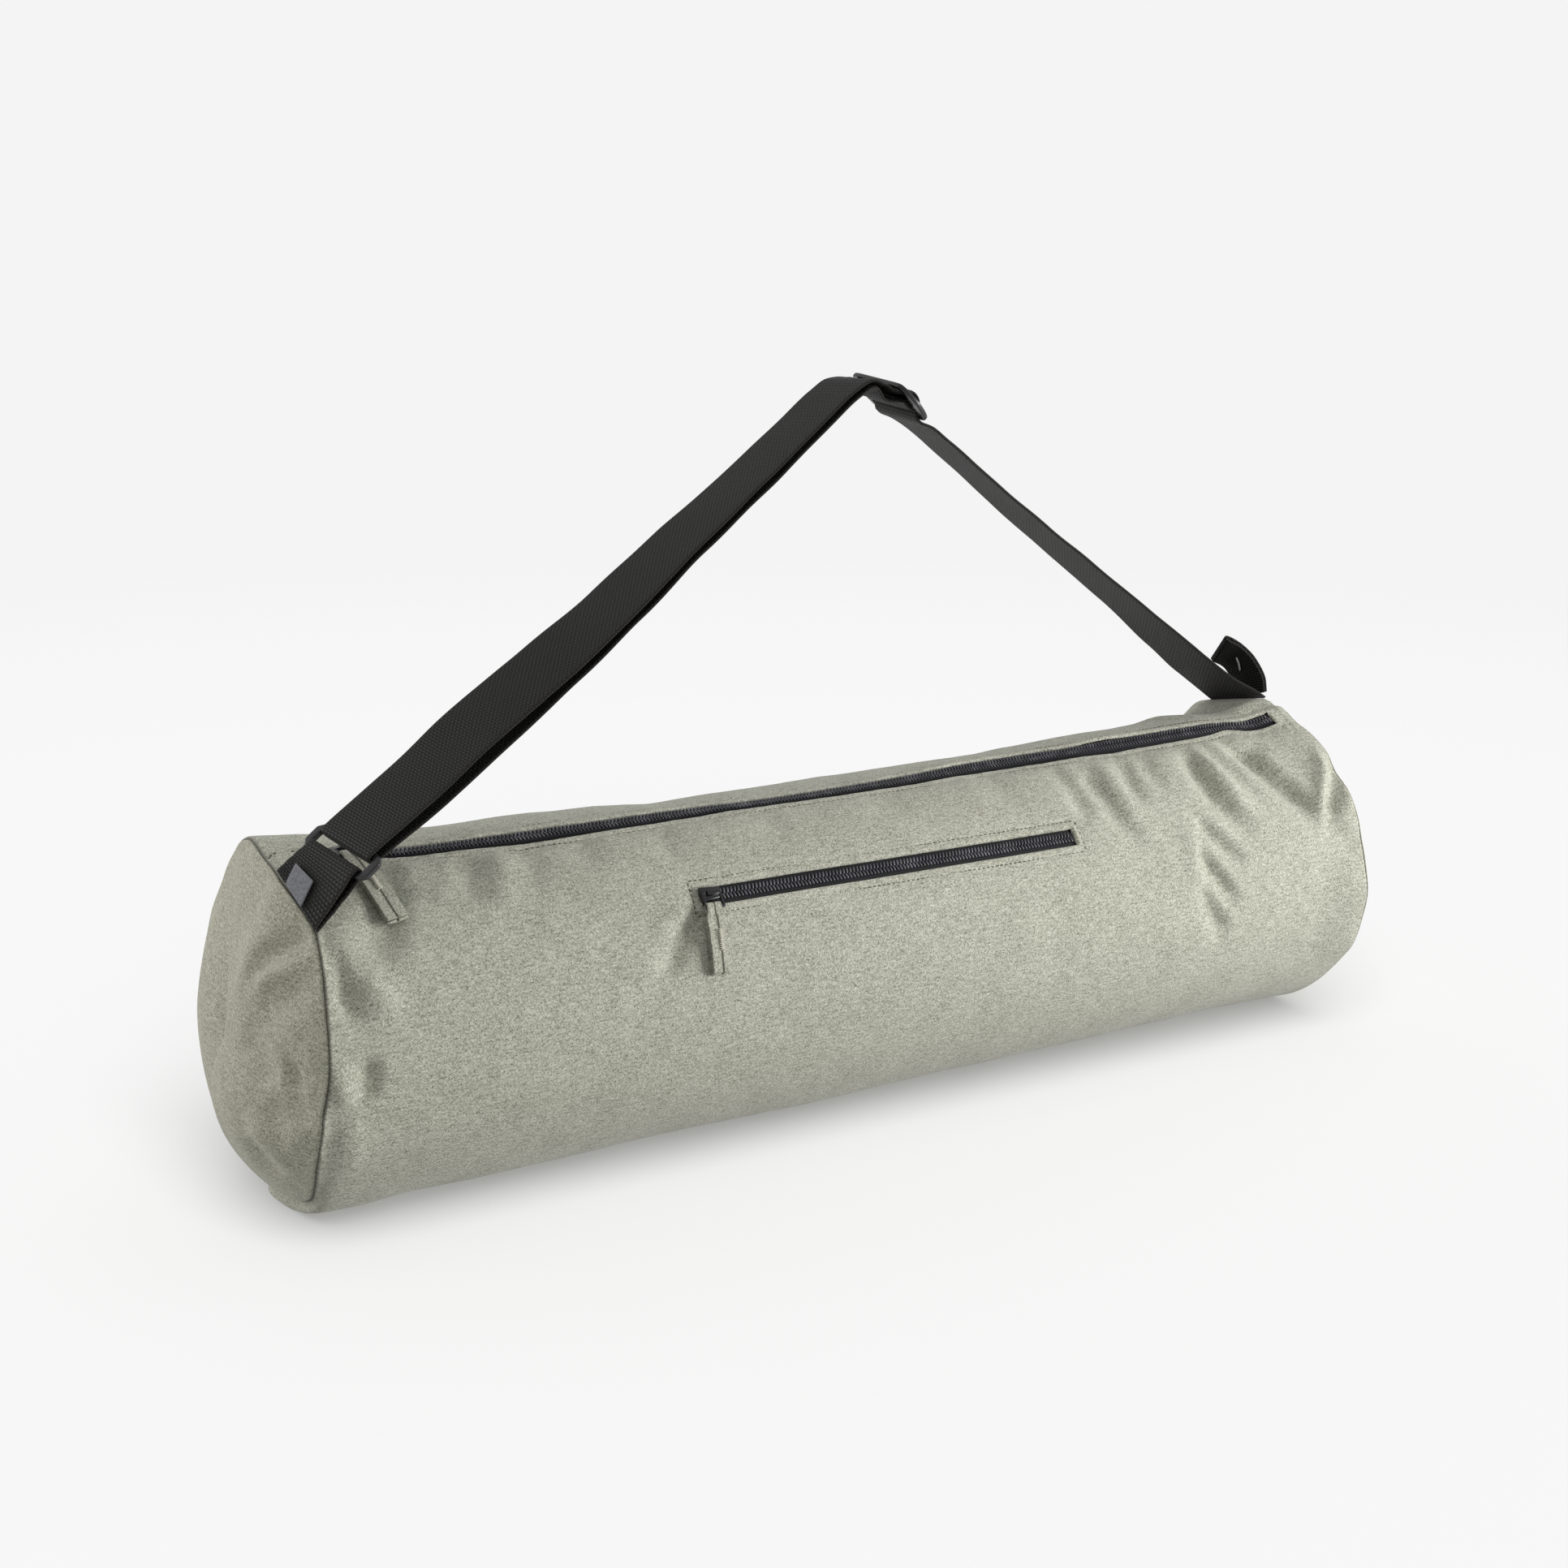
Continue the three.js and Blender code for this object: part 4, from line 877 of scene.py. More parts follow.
# Where the tube's grid has its lines round the bag: fine at the ends and beside the openings
X_LINES = stops(
    -HALF, (-HALF + 1.8, 0.3), (-HALF + 3.6, 0.6),
    (MAIN_ZIP[0] - HEM_MARGIN, 2.1), (MAIN_ZIP[0] - HEM_ROLL, 1.1), (MAIN_ZIP[0], 0.33),
    (POCKET_ZIP[0] - HEM_MARGIN, 2.2), (POCKET_ZIP[0] - HEM_ROLL, 1.1), (POCKET_ZIP[0], 0.33),
    (POCKET_ZIP[1], 2.4), (POCKET_ZIP[1] + HEM_ROLL, 0.33), (POCKET_ZIP[1] + HEM_MARGIN, 1.1),
    (MAIN_ZIP[1], 2.2), (MAIN_ZIP[1] + HEM_ROLL, 0.33), (HALF - 1.8, 0.7), (HALF, 0.3),
)

# Where the cloth is sewn down beyond the zip's left end, and how deep stitches sink into it
PATCH_SEAM = [(-305, 4.5), (-302, 1.2), (-297, 0.2), (-288, 1.5), (-281, 3.0)]
PATCH_DIP = 1.0
STITCH_DIP = 0.42


def turn_lines(x):
    """For each line along the bag, the turns of the grid's lines round it, and their first window cells."""
    middle, half = arc(zip_middle(x)), zip_half(x)
    full = 2 * math.pi * RADIUS
    pocket = arc(POCKET_TURN)
    low = middle + half
    high = middle - half + full
    pocket_top, pocket_low = pocket - POCKET_HALF, pocket + POCKET_HALF
    knots = [
        (low + HEM_ROLL, 4), (low + HEM_MARGIN, 4), (pocket_top - HEM_MARGIN, 16), (pocket_top - HEM_ROLL, 4),
        (pocket_top, 4), (pocket_low, 5, "pocket"), (pocket_low + HEM_ROLL, 4), (pocket_low + HEM_MARGIN, 4),
        (arc(112), 33), (arc(170), 30), (arc(190), 7), (arc(335), 36), (high - HEM_MARGIN, 10),
        (high - HEM_ROLL, 4), (high, 4), (low + full, 3, "main"),
    ]
    found = [low]
    windows = {}
    for end, count, *window in knots:
        start = found[-1]
        for name in window:
            windows[name] = (len(found) - 1, len(found) - 1 + count)
        found += [start + (end - start) * (cell + 1) / count for cell in range(count)]
    lines = np.stack([np.broadcast_to(row, x.shape) for row in found], axis=1)
    return turn_of(lines), windows


# Small puckers beside the zips: height, wavelength, lean, and how far from the opening they lie and spread
MAIN_PUCKER = (0.22, 8.5, 0.7, 7, 5)
POCKET_PUCKER = (0.1, 9.5, -0.4, 6, 4)
SEAM_DIP = 1.3

# The height and width of the cloth's slight unevenness
SWELLS = ((0.5, 34), (0.2, 12))


def cloth_detail(x, turn):
    """How far the cloth drops at its hems, seams and stitch lines, and its small puckers."""
    drop = rolled(HALF - np.abs(x), SEAM_ROLL) * SEAM_DIP
    drop = drop - fold_lift(x, arc(wrapped(turn)), unrolled(PATCH_SEAM), -PATCH_DIP, 1.1, 0.1)
    sway = 2 * np.sin(x / 23) + 1.3 * np.sin(x / 9.7)
    puckers = ((zip_distance, *MAIN_PUCKER), (pocket_distance, *POCKET_PUCKER))
    for distance_from, height, length, lean, off, reach in puckers:
        distance = distance_from(x, turn)
        wave = np.sin(2 * np.pi * (x + lean * distance) / length + sway)
        drop = drop + rolled(distance) + STITCH_DIP * np.exp(-(distance - STITCH_OFF) ** 2)
        drop = drop - height * wave * np.exp(-((distance - off) / reach) ** 2)
    return drop


def small_swell(x, turn):
    """Slight unevenness of the cloth, the same on every run."""
    flat = joined(x, *round_axis(RADIUS, turn)).reshape(-1, 3)
    found = [sum(height * noise.noise(Vector(spot) / wide) for height, wide in SWELLS) for spot in flat]
    return np.array(found).reshape(np.shape(x))


def body_panel():
    turns, windows = turn_lines(X_LINES)

    def place(i, j):
        x, turn = X_LINES[i], turns[i, j]
        return body_point(x, turn, cloth_detail(x, turn) - small_swell(x, turn))

    limits = {name: [int(np.argmin(np.abs(X_LINES - end))) for end in ends]
              for name, ends in (("main", MAIN_ZIP), ("pocket", POCKET_ZIP))}

    def keep(i, j):
        return not any(
            limits[name][0] <= i < limits[name][1] and windows[name][0] <= j < windows[name][1]
            for name in windows
        )

    bm = cloth_grid(len(X_LINES), turns.shape[1], place,
                    lambda i, j: joined(X_LINES[i], arc(turns[i, j])), keep)
    face_out(bm, MIDDLE)
    piece(bm, "body_cloth", TUBE_CANVAS, "cloth", "body_panel")


# The dome's shape: the larger, the flatter its middle
DOME_CURVE = 2.4


def end_cap(side):
    reaches = stops(0, (0.9, 0.03), (0.976, 0.012), (1, 0.0035))
    turns = stops(0, (360, 1.9))
    rim = body_point(np.full(len(turns), side * HALF), turns)

    def place(i, j):
        reach, turn = reaches[i], turns[j]
        edge = rim[j]
        away = (1 - reach) * RADIUS
        dome = CAP_BULGE * (1 - reach ** DOME_CURVE)
        across, tall = round_axis(reach * RADIUS, turn)
        if side < 0:
            dome = dome + 4 * reach * (1 - reach) * curve(CAP_SWELL, wrapped(turn))
            calm = 1 - reach ** 12
            for line, depth, width in CAP_FOLDS:
                flat = [round_axis(share * RADIUS, bearing) for bearing, share in line]
                dome = dome + fold_lift(across, tall, flat, depth * CAP_FOLD_DEPTH, width, 0.3) * calm
        drop = rolled(away, SEAM_ROLL)
        pulled = (edge[:, 0] - side * HALF) * reach ** 3
        x = side * (HALF + CLEARANCE + dome) + pulled - side * drop * 0.6
        share = reach - drop * 0.8 / RADIUS
        y = AXIS_Y + (edge[:, 1] - AXIS_Y) * share
        z = AXIS_Z + (edge[:, 2] - AXIS_Z) * share
        return joined(x, y, z)

    bm = cloth_grid(len(reaches), len(turns), place,
                    lambda i, j: joined(*round_axis(reaches[i] * RADIUS, turns[j])))
    face_out(bm, Vector((side * HALF * 0.9, AXIS_Y, AXIS_Z)))
    name = "end_cap_left" if side < 0 else "end_cap_right"
    piece(bm, name.replace("cap", "cloth"), END_CANVAS, "cloth", name)


# Zips

TAPE_DEPTH = 1.5
TAPE_UNDER = 3
TAPE_BEYOND = 4
CORE_SECTION = np.array([
    (-2.9, 1.5), (-2.7, 0.9), (-1.5, 0.55), (0, 0.7), (1.5, 0.55), (2.7, 0.9), (2.9, 1.5),
])
TOOTH_PITCH = 2.0
TOOTH_SIZE = (1.6, 0.66, 0.66)
TOOTH_OFF = 1.35
TOOTH_DEPTH = 0.35
TOOTH_SLANT = 0.28


def tape_and_teeth(name, ends, middle, half, node, back=0.0):
    """The tape under an opening, its woven core and the two rows of teeth along it."""
    x = stops(ends[0] - TAPE_BEYOND, (ends[1] + TAPE_BEYOND, 3.0))
    share = stops(-1, (1, 0.125))

    def place(i, j):
        turn = middle(x[i]) + turn_of((half(x[i]) + TAPE_UNDER) * share[j])
        return body_point(x[i], turn, TAPE_DEPTH + 0.3 * np.abs(share[j]))

    tape = cloth_grid(len(x), len(share), place, lambda i, j: joined(x[i], 9 * share[j]))
    face_out(tape, MIDDLE)
    piece(tape, name + "_weave", TAPE, "zip_tape", node + "_tape")

    core_x = stops(ends[0] + 0.5, (ends[1] - 0.5, 3.0))

    def core_place(i, j):
        across, depth = CORE_SECTION[j].T
        return body_point(core_x[i], middle(core_x[i]) + turn_of(across - back), depth)

    core = cloth_grid(len(core_x), len(CORE_SECTION), core_place, lambda i, j: joined(core_x[i], 2.0 * j))
    face_out(core, MIDDLE)
    piece(core, name + "_core", TAPE, "zip_tape")

    count = int((ends[1] - ends[0] - 2) / TOOTH_PITCH)
    spots = []
    for row in (-1, 1):
        tooth_x = ends[0] + 1 + TOOTH_PITCH * (np.arange(count) + (0.5 if row > 0 else 0))
        turn = middle(tooth_x) + turn_of(row * TOOTH_OFF - back)
        seats, ahead, over = (body_point(tooth_x + on, turn + round_, TOOTH_DEPTH)
                              for on, round_ in ((0, 0), (1, 0), (0, 1)))
        for seat, front, side in zip(seats, ahead, over):
            along = Vector(front - seat).normalized()
            round_ = Vector(side - seat).normalized()
            out = round_.cross(along)
            spots.append((Vector(seat), (round_ + along * TOOTH_SLANT * row).normalized(), out))
    grains(name + "_teeth", spots, TOOTH_SIZE, TEETH, "zip_coil", node + "_coil", segments=(6, 8))


def grains(name, spots, size, finish, slot, *nodes, segments=(4, 6)):
    """Small rounded bars: spots are (place, direction, outward), size is half lengths."""
    ball = bmesh.new()
    bmesh.ops.create_uvsphere(ball, u_segments=segments[1], v_segments=segments[0], radius=1)
    pattern = bpy.data.meshes.new("pattern")
    ball.to_mesh(pattern)
    ball.free()
    sized = Matrix.Diagonal((size[2], size[1], size[0], 1))
    bm = bmesh.new()
    for place, along, out in spots:
        side = out.cross(along).normalized()
        turn = Matrix((along.cross(side), side, along)).transposed().to_4x4()
        one = pattern.copy()
        one.transform(Matrix.Translation(place) @ turn @ sized)
        bm.from_mesh(one, face_normals=False, vertex_normals=False)
        bpy.data.meshes.remove(one)
    bpy.data.meshes.remove(pattern)
    piece(bm, name, finish, slot, *nodes)


STITCH_HALVES = (0.42, 0.36)


def stitches(name, path, finish, length=2.1, gap=0.8, height=-0.12):
    """A row of stitches along places (x, turn) of the cloth."""
    path = np.array(path, float)
    spots = body_point(path[:, 0], path[:, 1], cloth_detail(path[:, 0], path[:, 1]) - height)
    run = np.concatenate([[0], np.cumsum(np.linalg.norm(np.diff(spots, axis=0), axis=1))])
    placed = []
    for start in np.arange(gap, run[-1] - length, length + gap):
        ends = [Vector([np.interp(at, run, spots[:, axis]) for axis in range(3)])
                for at in (start, start + length)]
        middle = (ends[0] + ends[1]) / 2
        out = Vector((0, middle.y - AXIS_Y, middle.z - AXIS_Z)).normalized()
        placed.append((middle, (ends[1] - ends[0]).normalized(), out))
    grains(name, placed, (length / 2, *STITCH_HALVES), finish, "cloth")


def rows_of_stitches():
    x = stops(-286, (HALF - 4, 1.0))
    for name, side in (("front", 1), ("back", -1)):
        turn = zip_middle(x) + turn_of((zip_half(x) + STITCH_OFF) * side)
        stitches("main_zip_stitches_" + name, joined(x, turn), SAGE_THREAD)
    top, low = (POCKET_TURN + side * turn_of(POCKET_HALF + STITCH_OFF) for side in (-1, 1))
    left, right = POCKET_ZIP[0] - STITCH_OFF, POCKET_ZIP[1] + STITCH_OFF
    along = stops(left, (right, 1.0))
    down = stops(top, (low, 0.7))
    for name, turn in (("top", top), ("low", low)):
        stitches("pocket_stitches_" + name, [(x, turn) for x in along], SAGE_THREAD)
    for name, x in (("left", left), ("right", right)):
        stitches("pocket_stitches_" + name, [(x, turn) for turn in down], SAGE_THREAD)
    reach = turn_of(POCKET_HALF + 1.0)
    bar = stops(POCKET_TURN - reach, (POCKET_TURN + reach, 0.5))
    stitches("pocket_end_bar", [(POCKET_ZIP[1] + 1.6, turn) for turn in bar], BEIGE_THREAD, 1.2, 0.1, 0.5)
    patch = [(x, np.interp(x, *zip(*PATCH_SEAM))) for x in stops(PATCH_SEAM[0][0], (PATCH_SEAM[-1][0], 0.7))]
    stitches("patch_stitches", patch, SAGE_THREAD, height=0.7)


# Zip sliders and their pulls

SLIDER = (11.0, 8.0, 2.2)
SLIDER_ROUND = 0.7
SLIDER_NOSE = 0.72
SLIDER_CROWN = (6.4, 2.8, 1.9)
SLIDER_LOW = 0.3 + CLEARANCE
BAIL_WIDTH = 10.6
BAIL_WIRE = 1.4
BAIL_REACH = 8.0
BAIL_START = -1.2
BAIL_THICK = 1.3
BAIL_ROUND = 0.45
BAIL_LOW = SLIDER_LOW + SLIDER[2] - 0.9


def seat_on_cloth(x, turn):
    """The place of a slider: x along the zip, y down the front, z outwards."""
    down = Vector((0, -math.cos(math.radians(turn)), -math.sin(math.radians(turn))))
    along = Vector((-1, 0, 0))
    seat = Matrix((along, down, along.cross(down))).transposed().to_4x4()
    seat.translation = surface(x, turn)
    return seat


def rounded(bm, edges, offset, segments=3):
    bmesh.ops.bevel(bm, geom=list(edges), offset=offset, offset_type="OFFSET", affect="EDGES",
                    segments=segments, profile=0.5, material=-1)


def thickened(bm, faces, thick):
    """Raises flat faces into a slab and gives its upper corners."""
    raised = bmesh.ops.extrude_face_region(bm, geom=faces)["geom"]
    lifted = [part for part in raised if isinstance(part, bmesh.types.BMVert)]
    bmesh.ops.translate(bm, verts=lifted, vec=Vector((0, 0, thick)))
    return lifted


def soft_block(bm, size, centre, offset, nose=1.0):
    made = bmesh.ops.create_cube(bm, size=1.0)["verts"]
    for corner in made:
        corner.co = Vector((corner.co.x * size[0], corner.co.y * size[1], corner.co.z * size[2]))
        if corner.co.x < 0:
            corner.co.y *= nose
        corner.co += Vector(centre)
    rounded(bm, {edge for corner in made for edge in corner.link_edges}, offset)


def wire_loop(bm, x_lines, y_lines, low, thick, offset):
    """A flat loop: a three by three grid without its middle, given thickness and round edges."""
    made = bmesh.ops.create_grid(bm, x_segments=3, y_segments=3, size=0.5)["verts"]
    for corner in made:
        column, row = round((corner.co.x + 0.5) * 3), round((corner.co.y + 0.5) * 3)
        corner.co = Vector((x_lines[column], y_lines[row], low))
    faces = list({face for corner in made for face in corner.link_faces})
    middle = Vector((sum(x_lines[1:3]) / 2, sum(y_lines[1:3]) / 2, low))
    hole = min(faces, key=lambda face: (face.calc_center_median() - middle).length)
    bmesh.ops.delete(bm, geom=[hole], context="FACES_ONLY")
    lifted = thickened(bm, [face for face in faces if face.is_valid], thick)
    loop = {corner for corner in made if corner.is_valid} | set(lifted)
    edges = {edge for corner in loop for edge in corner.link_edges}
    rounded(bm, [edge for edge in edges if edge.calc_face_angle(0) > 0.5], offset)


def zip_slider(name, x, turn, node):
    bm = bmesh.new()
    soft_block(bm, SLIDER, (0, 0, SLIDER_LOW + SLIDER[2] / 2), SLIDER_ROUND, SLIDER_NOSE)
    soft_block(bm, SLIDER_CROWN, (-0.6, 0, SLIDER_LOW + SLIDER[2] + 0.6), 0.5)
    half = BAIL_WIDTH / 2
    wire_loop(bm, (-half, BAIL_WIRE - half, half - BAIL_WIRE, half),
              (BAIL_START, BAIL_START + BAIL_WIRE, BAIL_REACH - BAIL_WIRE, BAIL_REACH),
              BAIL_LOW, BAIL_THICK, BAIL_ROUND)
    bmesh.ops.recalc_face_normals(bm, faces=bm.faces)
    bmesh.ops.transform(bm, matrix=seat_on_cloth(x, turn), verts=bm.verts)
    piece(bm, name, GLOSS, "zip_slider", node)


# The pulls: a thick strip of cloth, narrower at its neck in the loop, over a gap between its two layers
PULL_CLOTH = 1.3
PULL_NECK = 7.6
PULL_GAP = 0.5
PULL_UNDER = 1.5 + PULL_CLOTH / 2
PULL_OVER = PULL_UNDER + PULL_CLOTH + PULL_GAP
PULL_FLARE = 2.5
PULL_PROFILE = [
    (-0.5, 0), (-0.485, 0.8), (-0.44, 1.35), (-0.3, 1.15), (-0.12, 1.2), (-0.04, 0.9), (0, 0.1), (0.04, 0.9),
    (0.12, 1.2), (0.3, 1.15), (0.44, 1.35), (0.485, 0.8), (0.5, 0),
]


# The zigzag bar that is sewn across both layers
BARTACK_BACK = 7.5
BARTACK_RISE = 0.6
BARTACK_STEP = 0.5
BARTACK_THREAD = (1.5, 0.3, 0.4)


def zip_pull(name, x, turn, length, lean, node):
    """A strip of the bag's cloth folded through the slider's loop, both layers hanging down the front."""
    reach = CLEARANCE + PULL_CLOTH / 2
    low, top = BAIL_LOW, BAIL_LOW + BAIL_THICK
    near = BAIL_REACH - BAIL_WIRE - reach
    neck = BAIL_REACH + PULL_CLOTH * 1.5
    full = neck + PULL_FLARE
    end = BAIL_REACH + PULL_CLOTH * 2 + length
    middle = full + (end - full) * 0.5
    spots = [
        (end + 0.8, PULL_UNDER, PULL_WIDTH), (middle, PULL_UNDER, PULL_WIDTH), (full, PULL_UNDER, PULL_WIDTH),
        (neck, PULL_UNDER, PULL_NECK), (near + reach * 0.6, low - reach, PULL_NECK),
        (near - 0.2, low + 0.3, PULL_NECK), (near - 0.2, low + 1.0, PULL_NECK),
        (near + reach * 0.6, top + reach, PULL_NECK), (neck, max(PULL_OVER, top + reach), PULL_NECK * 1.1),
        (full, PULL_OVER + 0.5, PULL_WIDTH), (middle, PULL_OVER, PULL_WIDTH),
        (end, PULL_OVER, PULL_WIDTH * 0.98),
    ]
    seat = seat_on_cloth(x, turn)
    tilt = math.atan(lean)
    stations = []
    for down, out, width in spots:
        if down >= neck:
            there = turn + turn_of(down)
            here = seat_on_cloth(x, there)
            across = Matrix.Rotation(tilt, 3, Vector(here.col[2][:3])) @ Vector(here.col[0][:3])
            point = surface(x + (down - near) * lean, there, out)
        else:
            across = Vector(seat.col[0][:3])
            point = seat @ Vector((0, down, out))
        stations.append(station(point, across, width))
    bm = strip(stations, PULL_CLOTH, 0.9, PULL_PROFILE, ROUND_EDGE, waver=0.3, seed=x)
    piece(bm, name, PULL_CANVAS, "cloth", node)
    place = stations[-2]["point"]
    run = (stations[-1]["point"] - place).normalized()
    across = stations[-2]["across"]
    out = run.cross(across)
    if out.dot(place - Vector((place.x, AXIS_Y, AXIS_Z))) < 0:
        out = -out
    start = place - run * BARTACK_BACK + out * (PULL_CLOTH / 2 + BARTACK_RISE)
    threads = [(start + run * index * BARTACK_STEP, (across + run * slant).normalized(), out)
               for index, slant in enumerate((-0.3, 0.3) * 10)]
    grains(name + "_bartack", threads, BARTACK_THREAD, BEIGE_THREAD, "cloth")


# Webbing

def between(low, high, count):
    """Stations at equal steps between two others."""
    found = []
    for cell in range(1, count):
        share = cell / count
        found.append(station(low["point"].lerp(high["point"], share),
                             low["across"].lerp(high["across"], share).normalized(),
                             low["width"] + (high["width"] - low["width"]) * share))
    return found


TAB_FOLD = around_bar(RING, -RING_PITCH / 2, 1)
TAB_SINK = (-2.6, -1.5)
TAB_FOOT = station(TAB_BASE.at(TAB_SINK[0], LAYER + TAB_SINK[1]), TAB_SEAM_LINE)
TAB_LOW = station(TAB_BASE.at(*TAB_SINK), TAB_SEAM_LINE)


def anchor_tab():
    rise, fall = between(TAB_LOW, TAB_FOLD[0], 3), between(TAB_FOLD[-1], TAB_FOOT, 3)
    way = [TAB_LOW, *rise, *TAB_FOLD, *fall, TAB_FOOT]
    piece(strip(way, WEBBING_THICK, 1.0), "anchor_webbing", WEBBING_BLACK, "webbing", "anchor_tab")


def shoulder_strap():
    bm = strip(strap_stations(), WEBBING_THICK, 1.6, waver=0.5, seed=3)
    piece(bm, "strap_webbing", WEBBING_BLACK, "webbing", "shoulder_strap")


LABEL_WIDTH = 16.0
LABEL_LENGTH = 11.0
LABEL_THICK = 1.0
LABEL_START = 0.4
LABEL_ASIDE = 1.4


def side_label():
    ring_end = TAB_FOLD[-1]
    run = ring_end["point"] - TAB_FOOT["point"]
    out = WEBBING_THICK / 2 + CLEARANCE * 1.5 + LABEL_THICK / 2
    stations = []
    for share in (0, 0.25, 0.5, 0.75, 1):
        reach = LABEL_START + share * LABEL_LENGTH
        across = TAB_FOOT["across"].lerp(ring_end["across"], reach / run.length).normalized()
        face = across.cross(run).normalized()
        slip = LABEL_ASIDE + share * LABEL_LENGTH / 3
        point = TAB_FOOT["point"] + run * (reach / run.length) - across * slip + face * out
        stations.append(station(point, across, LABEL_WIDTH))
    piece(strip(stations, LABEL_THICK, 0.8), "label_cloth", LABEL, "label", "side_label")


# The bar of pale thread on the loop: its middle and length along the loop, its slant, width and thickness
LOOP_BAR_AT = round(0.78 * LOOP_WIDTH)
LOOP_BAR_STEPS = range(-4, 6)
LOOP_BAR_SLANT = 0.02
LOOP_BAR_WIDTH = 1.2
LOOP_BAR_THICK = 0.6


def end_loop():
    seat = Frame(RIGHT_SEAM, -TAB_RISE, RIGHT_ROLL)
    base = seat.at(0, 1.5 * LAYER, (WEBBING - LOOP_WIDTH) / 2)
    middle = []
    for left, back, up, roll, skew in LOOP_LINE:
        point = base + Vector((-left, back, up)) * LOOP_WIDTH
        middle.append((point, turned(turned(FRONTWARD, HEADING, -roll), UP, -skew)))

    def layer(side):
        found = []
        for index, (point, across) in enumerate(middle):
            face = run_at([spot for spot, _ in middle], index).cross(across).normalized()
            found.append(station(point + face * side * LAYER / 2, across, LOOP_WIDTH))
        return found

    tip, across = middle[-1]
    run = (tip - middle[-2][0]).normalized()
    way = layer(1) + [station(tip + run * LAYER * 0.7, across, LOOP_WIDTH)] + layer(-1)[::-1]
    piece(strip(way, WEBBING_THICK, 1.0), "loop_webbing", WEBBING_BLACK, "webbing", "end_loop")

    for side, name in ((1, "loop_bar_outside"), (-1, "loop_bar_inside")):
        path = smooth_path(layer(side), 1.0)
        bar = []
        for on in LOOP_BAR_STEPS:
            spot, across, wide = path[LOOP_BAR_AT + on]
            face = (path[LOOP_BAR_AT + on + 1][0] - spot).cross(across).normalized()
            aside = across * wide * LOOP_BAR_SLANT * (1 + on) + face * side * (WEBBING_THICK / 2 + 0.1)
            bar.append(station(spot + aside, across, LOOP_BAR_WIDTH))
        piece(strip(bar, LOOP_BAR_THICK, 1.0), name, PALE_THREAD, "webbing")


# Strap hardware

SLOT_WIDTH = 41.6
END_REACH = 6.0

# A crescent end: how sudden its curve is, how much it takes off at the corners, and how much lower it is
END_CURVE = 2.6
END_CUT = 0.72
END_HEIGHT = 0.93
BAR_ROUND = 0.75


def bars(name, rows, pitch, place, node):
    """A plate of flat bars joined by crescent ends: a grid without its slots, made thick and rounded."""
    y_lines = []
    for row in range(rows):
        centre = (row - (rows - 1) / 2) * pitch
        y_lines += [centre - BAR_WIDTH / 2, centre + BAR_WIDTH / 2]
    half = SLOT_WIDTH / 2
    x_lines = [-half - END_REACH, -half, -half / 3, half / 3, half, half + END_REACH]
    bm = bmesh.new()
    columns, lines = len(x_lines) - 1, len(y_lines) - 1
    bmesh.ops.create_grid(bm, x_segments=columns, y_segments=lines, size=0.5)
    middles = [(face, face.calc_center_median() + Vector((0.5, 0.5, 0))) for face in bm.faces]
    slots = [face for face, at in middles if 0 < int(at.x * columns) < columns - 1 and int(at.y * lines) % 2]
    for corner in bm.verts:
        column, line = round((corner.co.x + 0.5) * columns), round((corner.co.y + 0.5) * lines)
        x, y = x_lines[column], y_lines[line]
        if column in (0, columns):
            x = math.copysign(half + END_REACH * (1 - abs(y / y_lines[-1]) ** END_CURVE * END_CUT), x)
            y *= END_HEIGHT
        corner.co = Vector((x, y, -BAR_THICK / 2))
    bmesh.ops.delete(bm, geom=slots, context="FACES")
    thickened(bm, bm.faces[:], BAR_THICK)
    bmesh.ops.recalc_face_normals(bm, faces=bm.faces)
    rounded(bm, [edge for edge in bm.edges if edge.calc_face_angle(0) > 0.6], BAR_ROUND, 2)
    bmesh.ops.transform(bm, matrix=place.matrix(), verts=bm.verts)
    smooth = piece(bm, name, SATIN, "hardware", node).modifiers.new("round", "SUBSURF")
    smooth.levels = smooth.render_levels = 2


# Building the bag

body_panel()
end_cap(-1)
end_cap(1)
tape_and_teeth("main_zip", MAIN_ZIP, zip_middle, zip_half, "main_zip", COIL_BACK)
tape_and_teeth("pocket_zip", POCKET_ZIP, lambda x: np.full(np.shape(x), POCKET_TURN),
               lambda x: np.full(np.shape(x), POCKET_HALF), "pocket_zip")
MAIN_SLIDER_X = -0.906 * HALF + SLIDER[0] / 2
POCKET_SLIDER_X = POCKET_ZIP[0] + 4.3
POCKET_PULL_X = POCKET_SLIDER_X - 1.5
MAIN_TURN = float(zip_middle(MAIN_SLIDER_X))
MAIN_PULL_LENGTH = 39
MAIN_PULL_LEAN = 0.2
POCKET_PULL_LENGTH = 27
POCKET_PULL_LEAN = -0.06
zip_slider("main_zip_slider_body", MAIN_SLIDER_X, MAIN_TURN, "main_zip_slider")
zip_pull("main_zip_pull_strip", MAIN_SLIDER_X, MAIN_TURN, MAIN_PULL_LENGTH, MAIN_PULL_LEAN, "main_zip_pull")
zip_slider("pocket_zip_slider_body", POCKET_SLIDER_X, POCKET_TURN, "pocket_zip_slider")
zip_pull("pocket_zip_pull_strip", POCKET_PULL_X, POCKET_TURN, POCKET_PULL_LENGTH, POCKET_PULL_LEAN,
         "pocket_zip_pull")
rows_of_stitches()
anchor_tab()
shoulder_strap()
side_label()
end_loop()
bars("ring_bars", 2, RING_PITCH, RING, "strap_ring")
bars("slider_bars", 3, BUCKLE_PITCH, BUCKLE, "strap_slider")


# Floor, light and camera

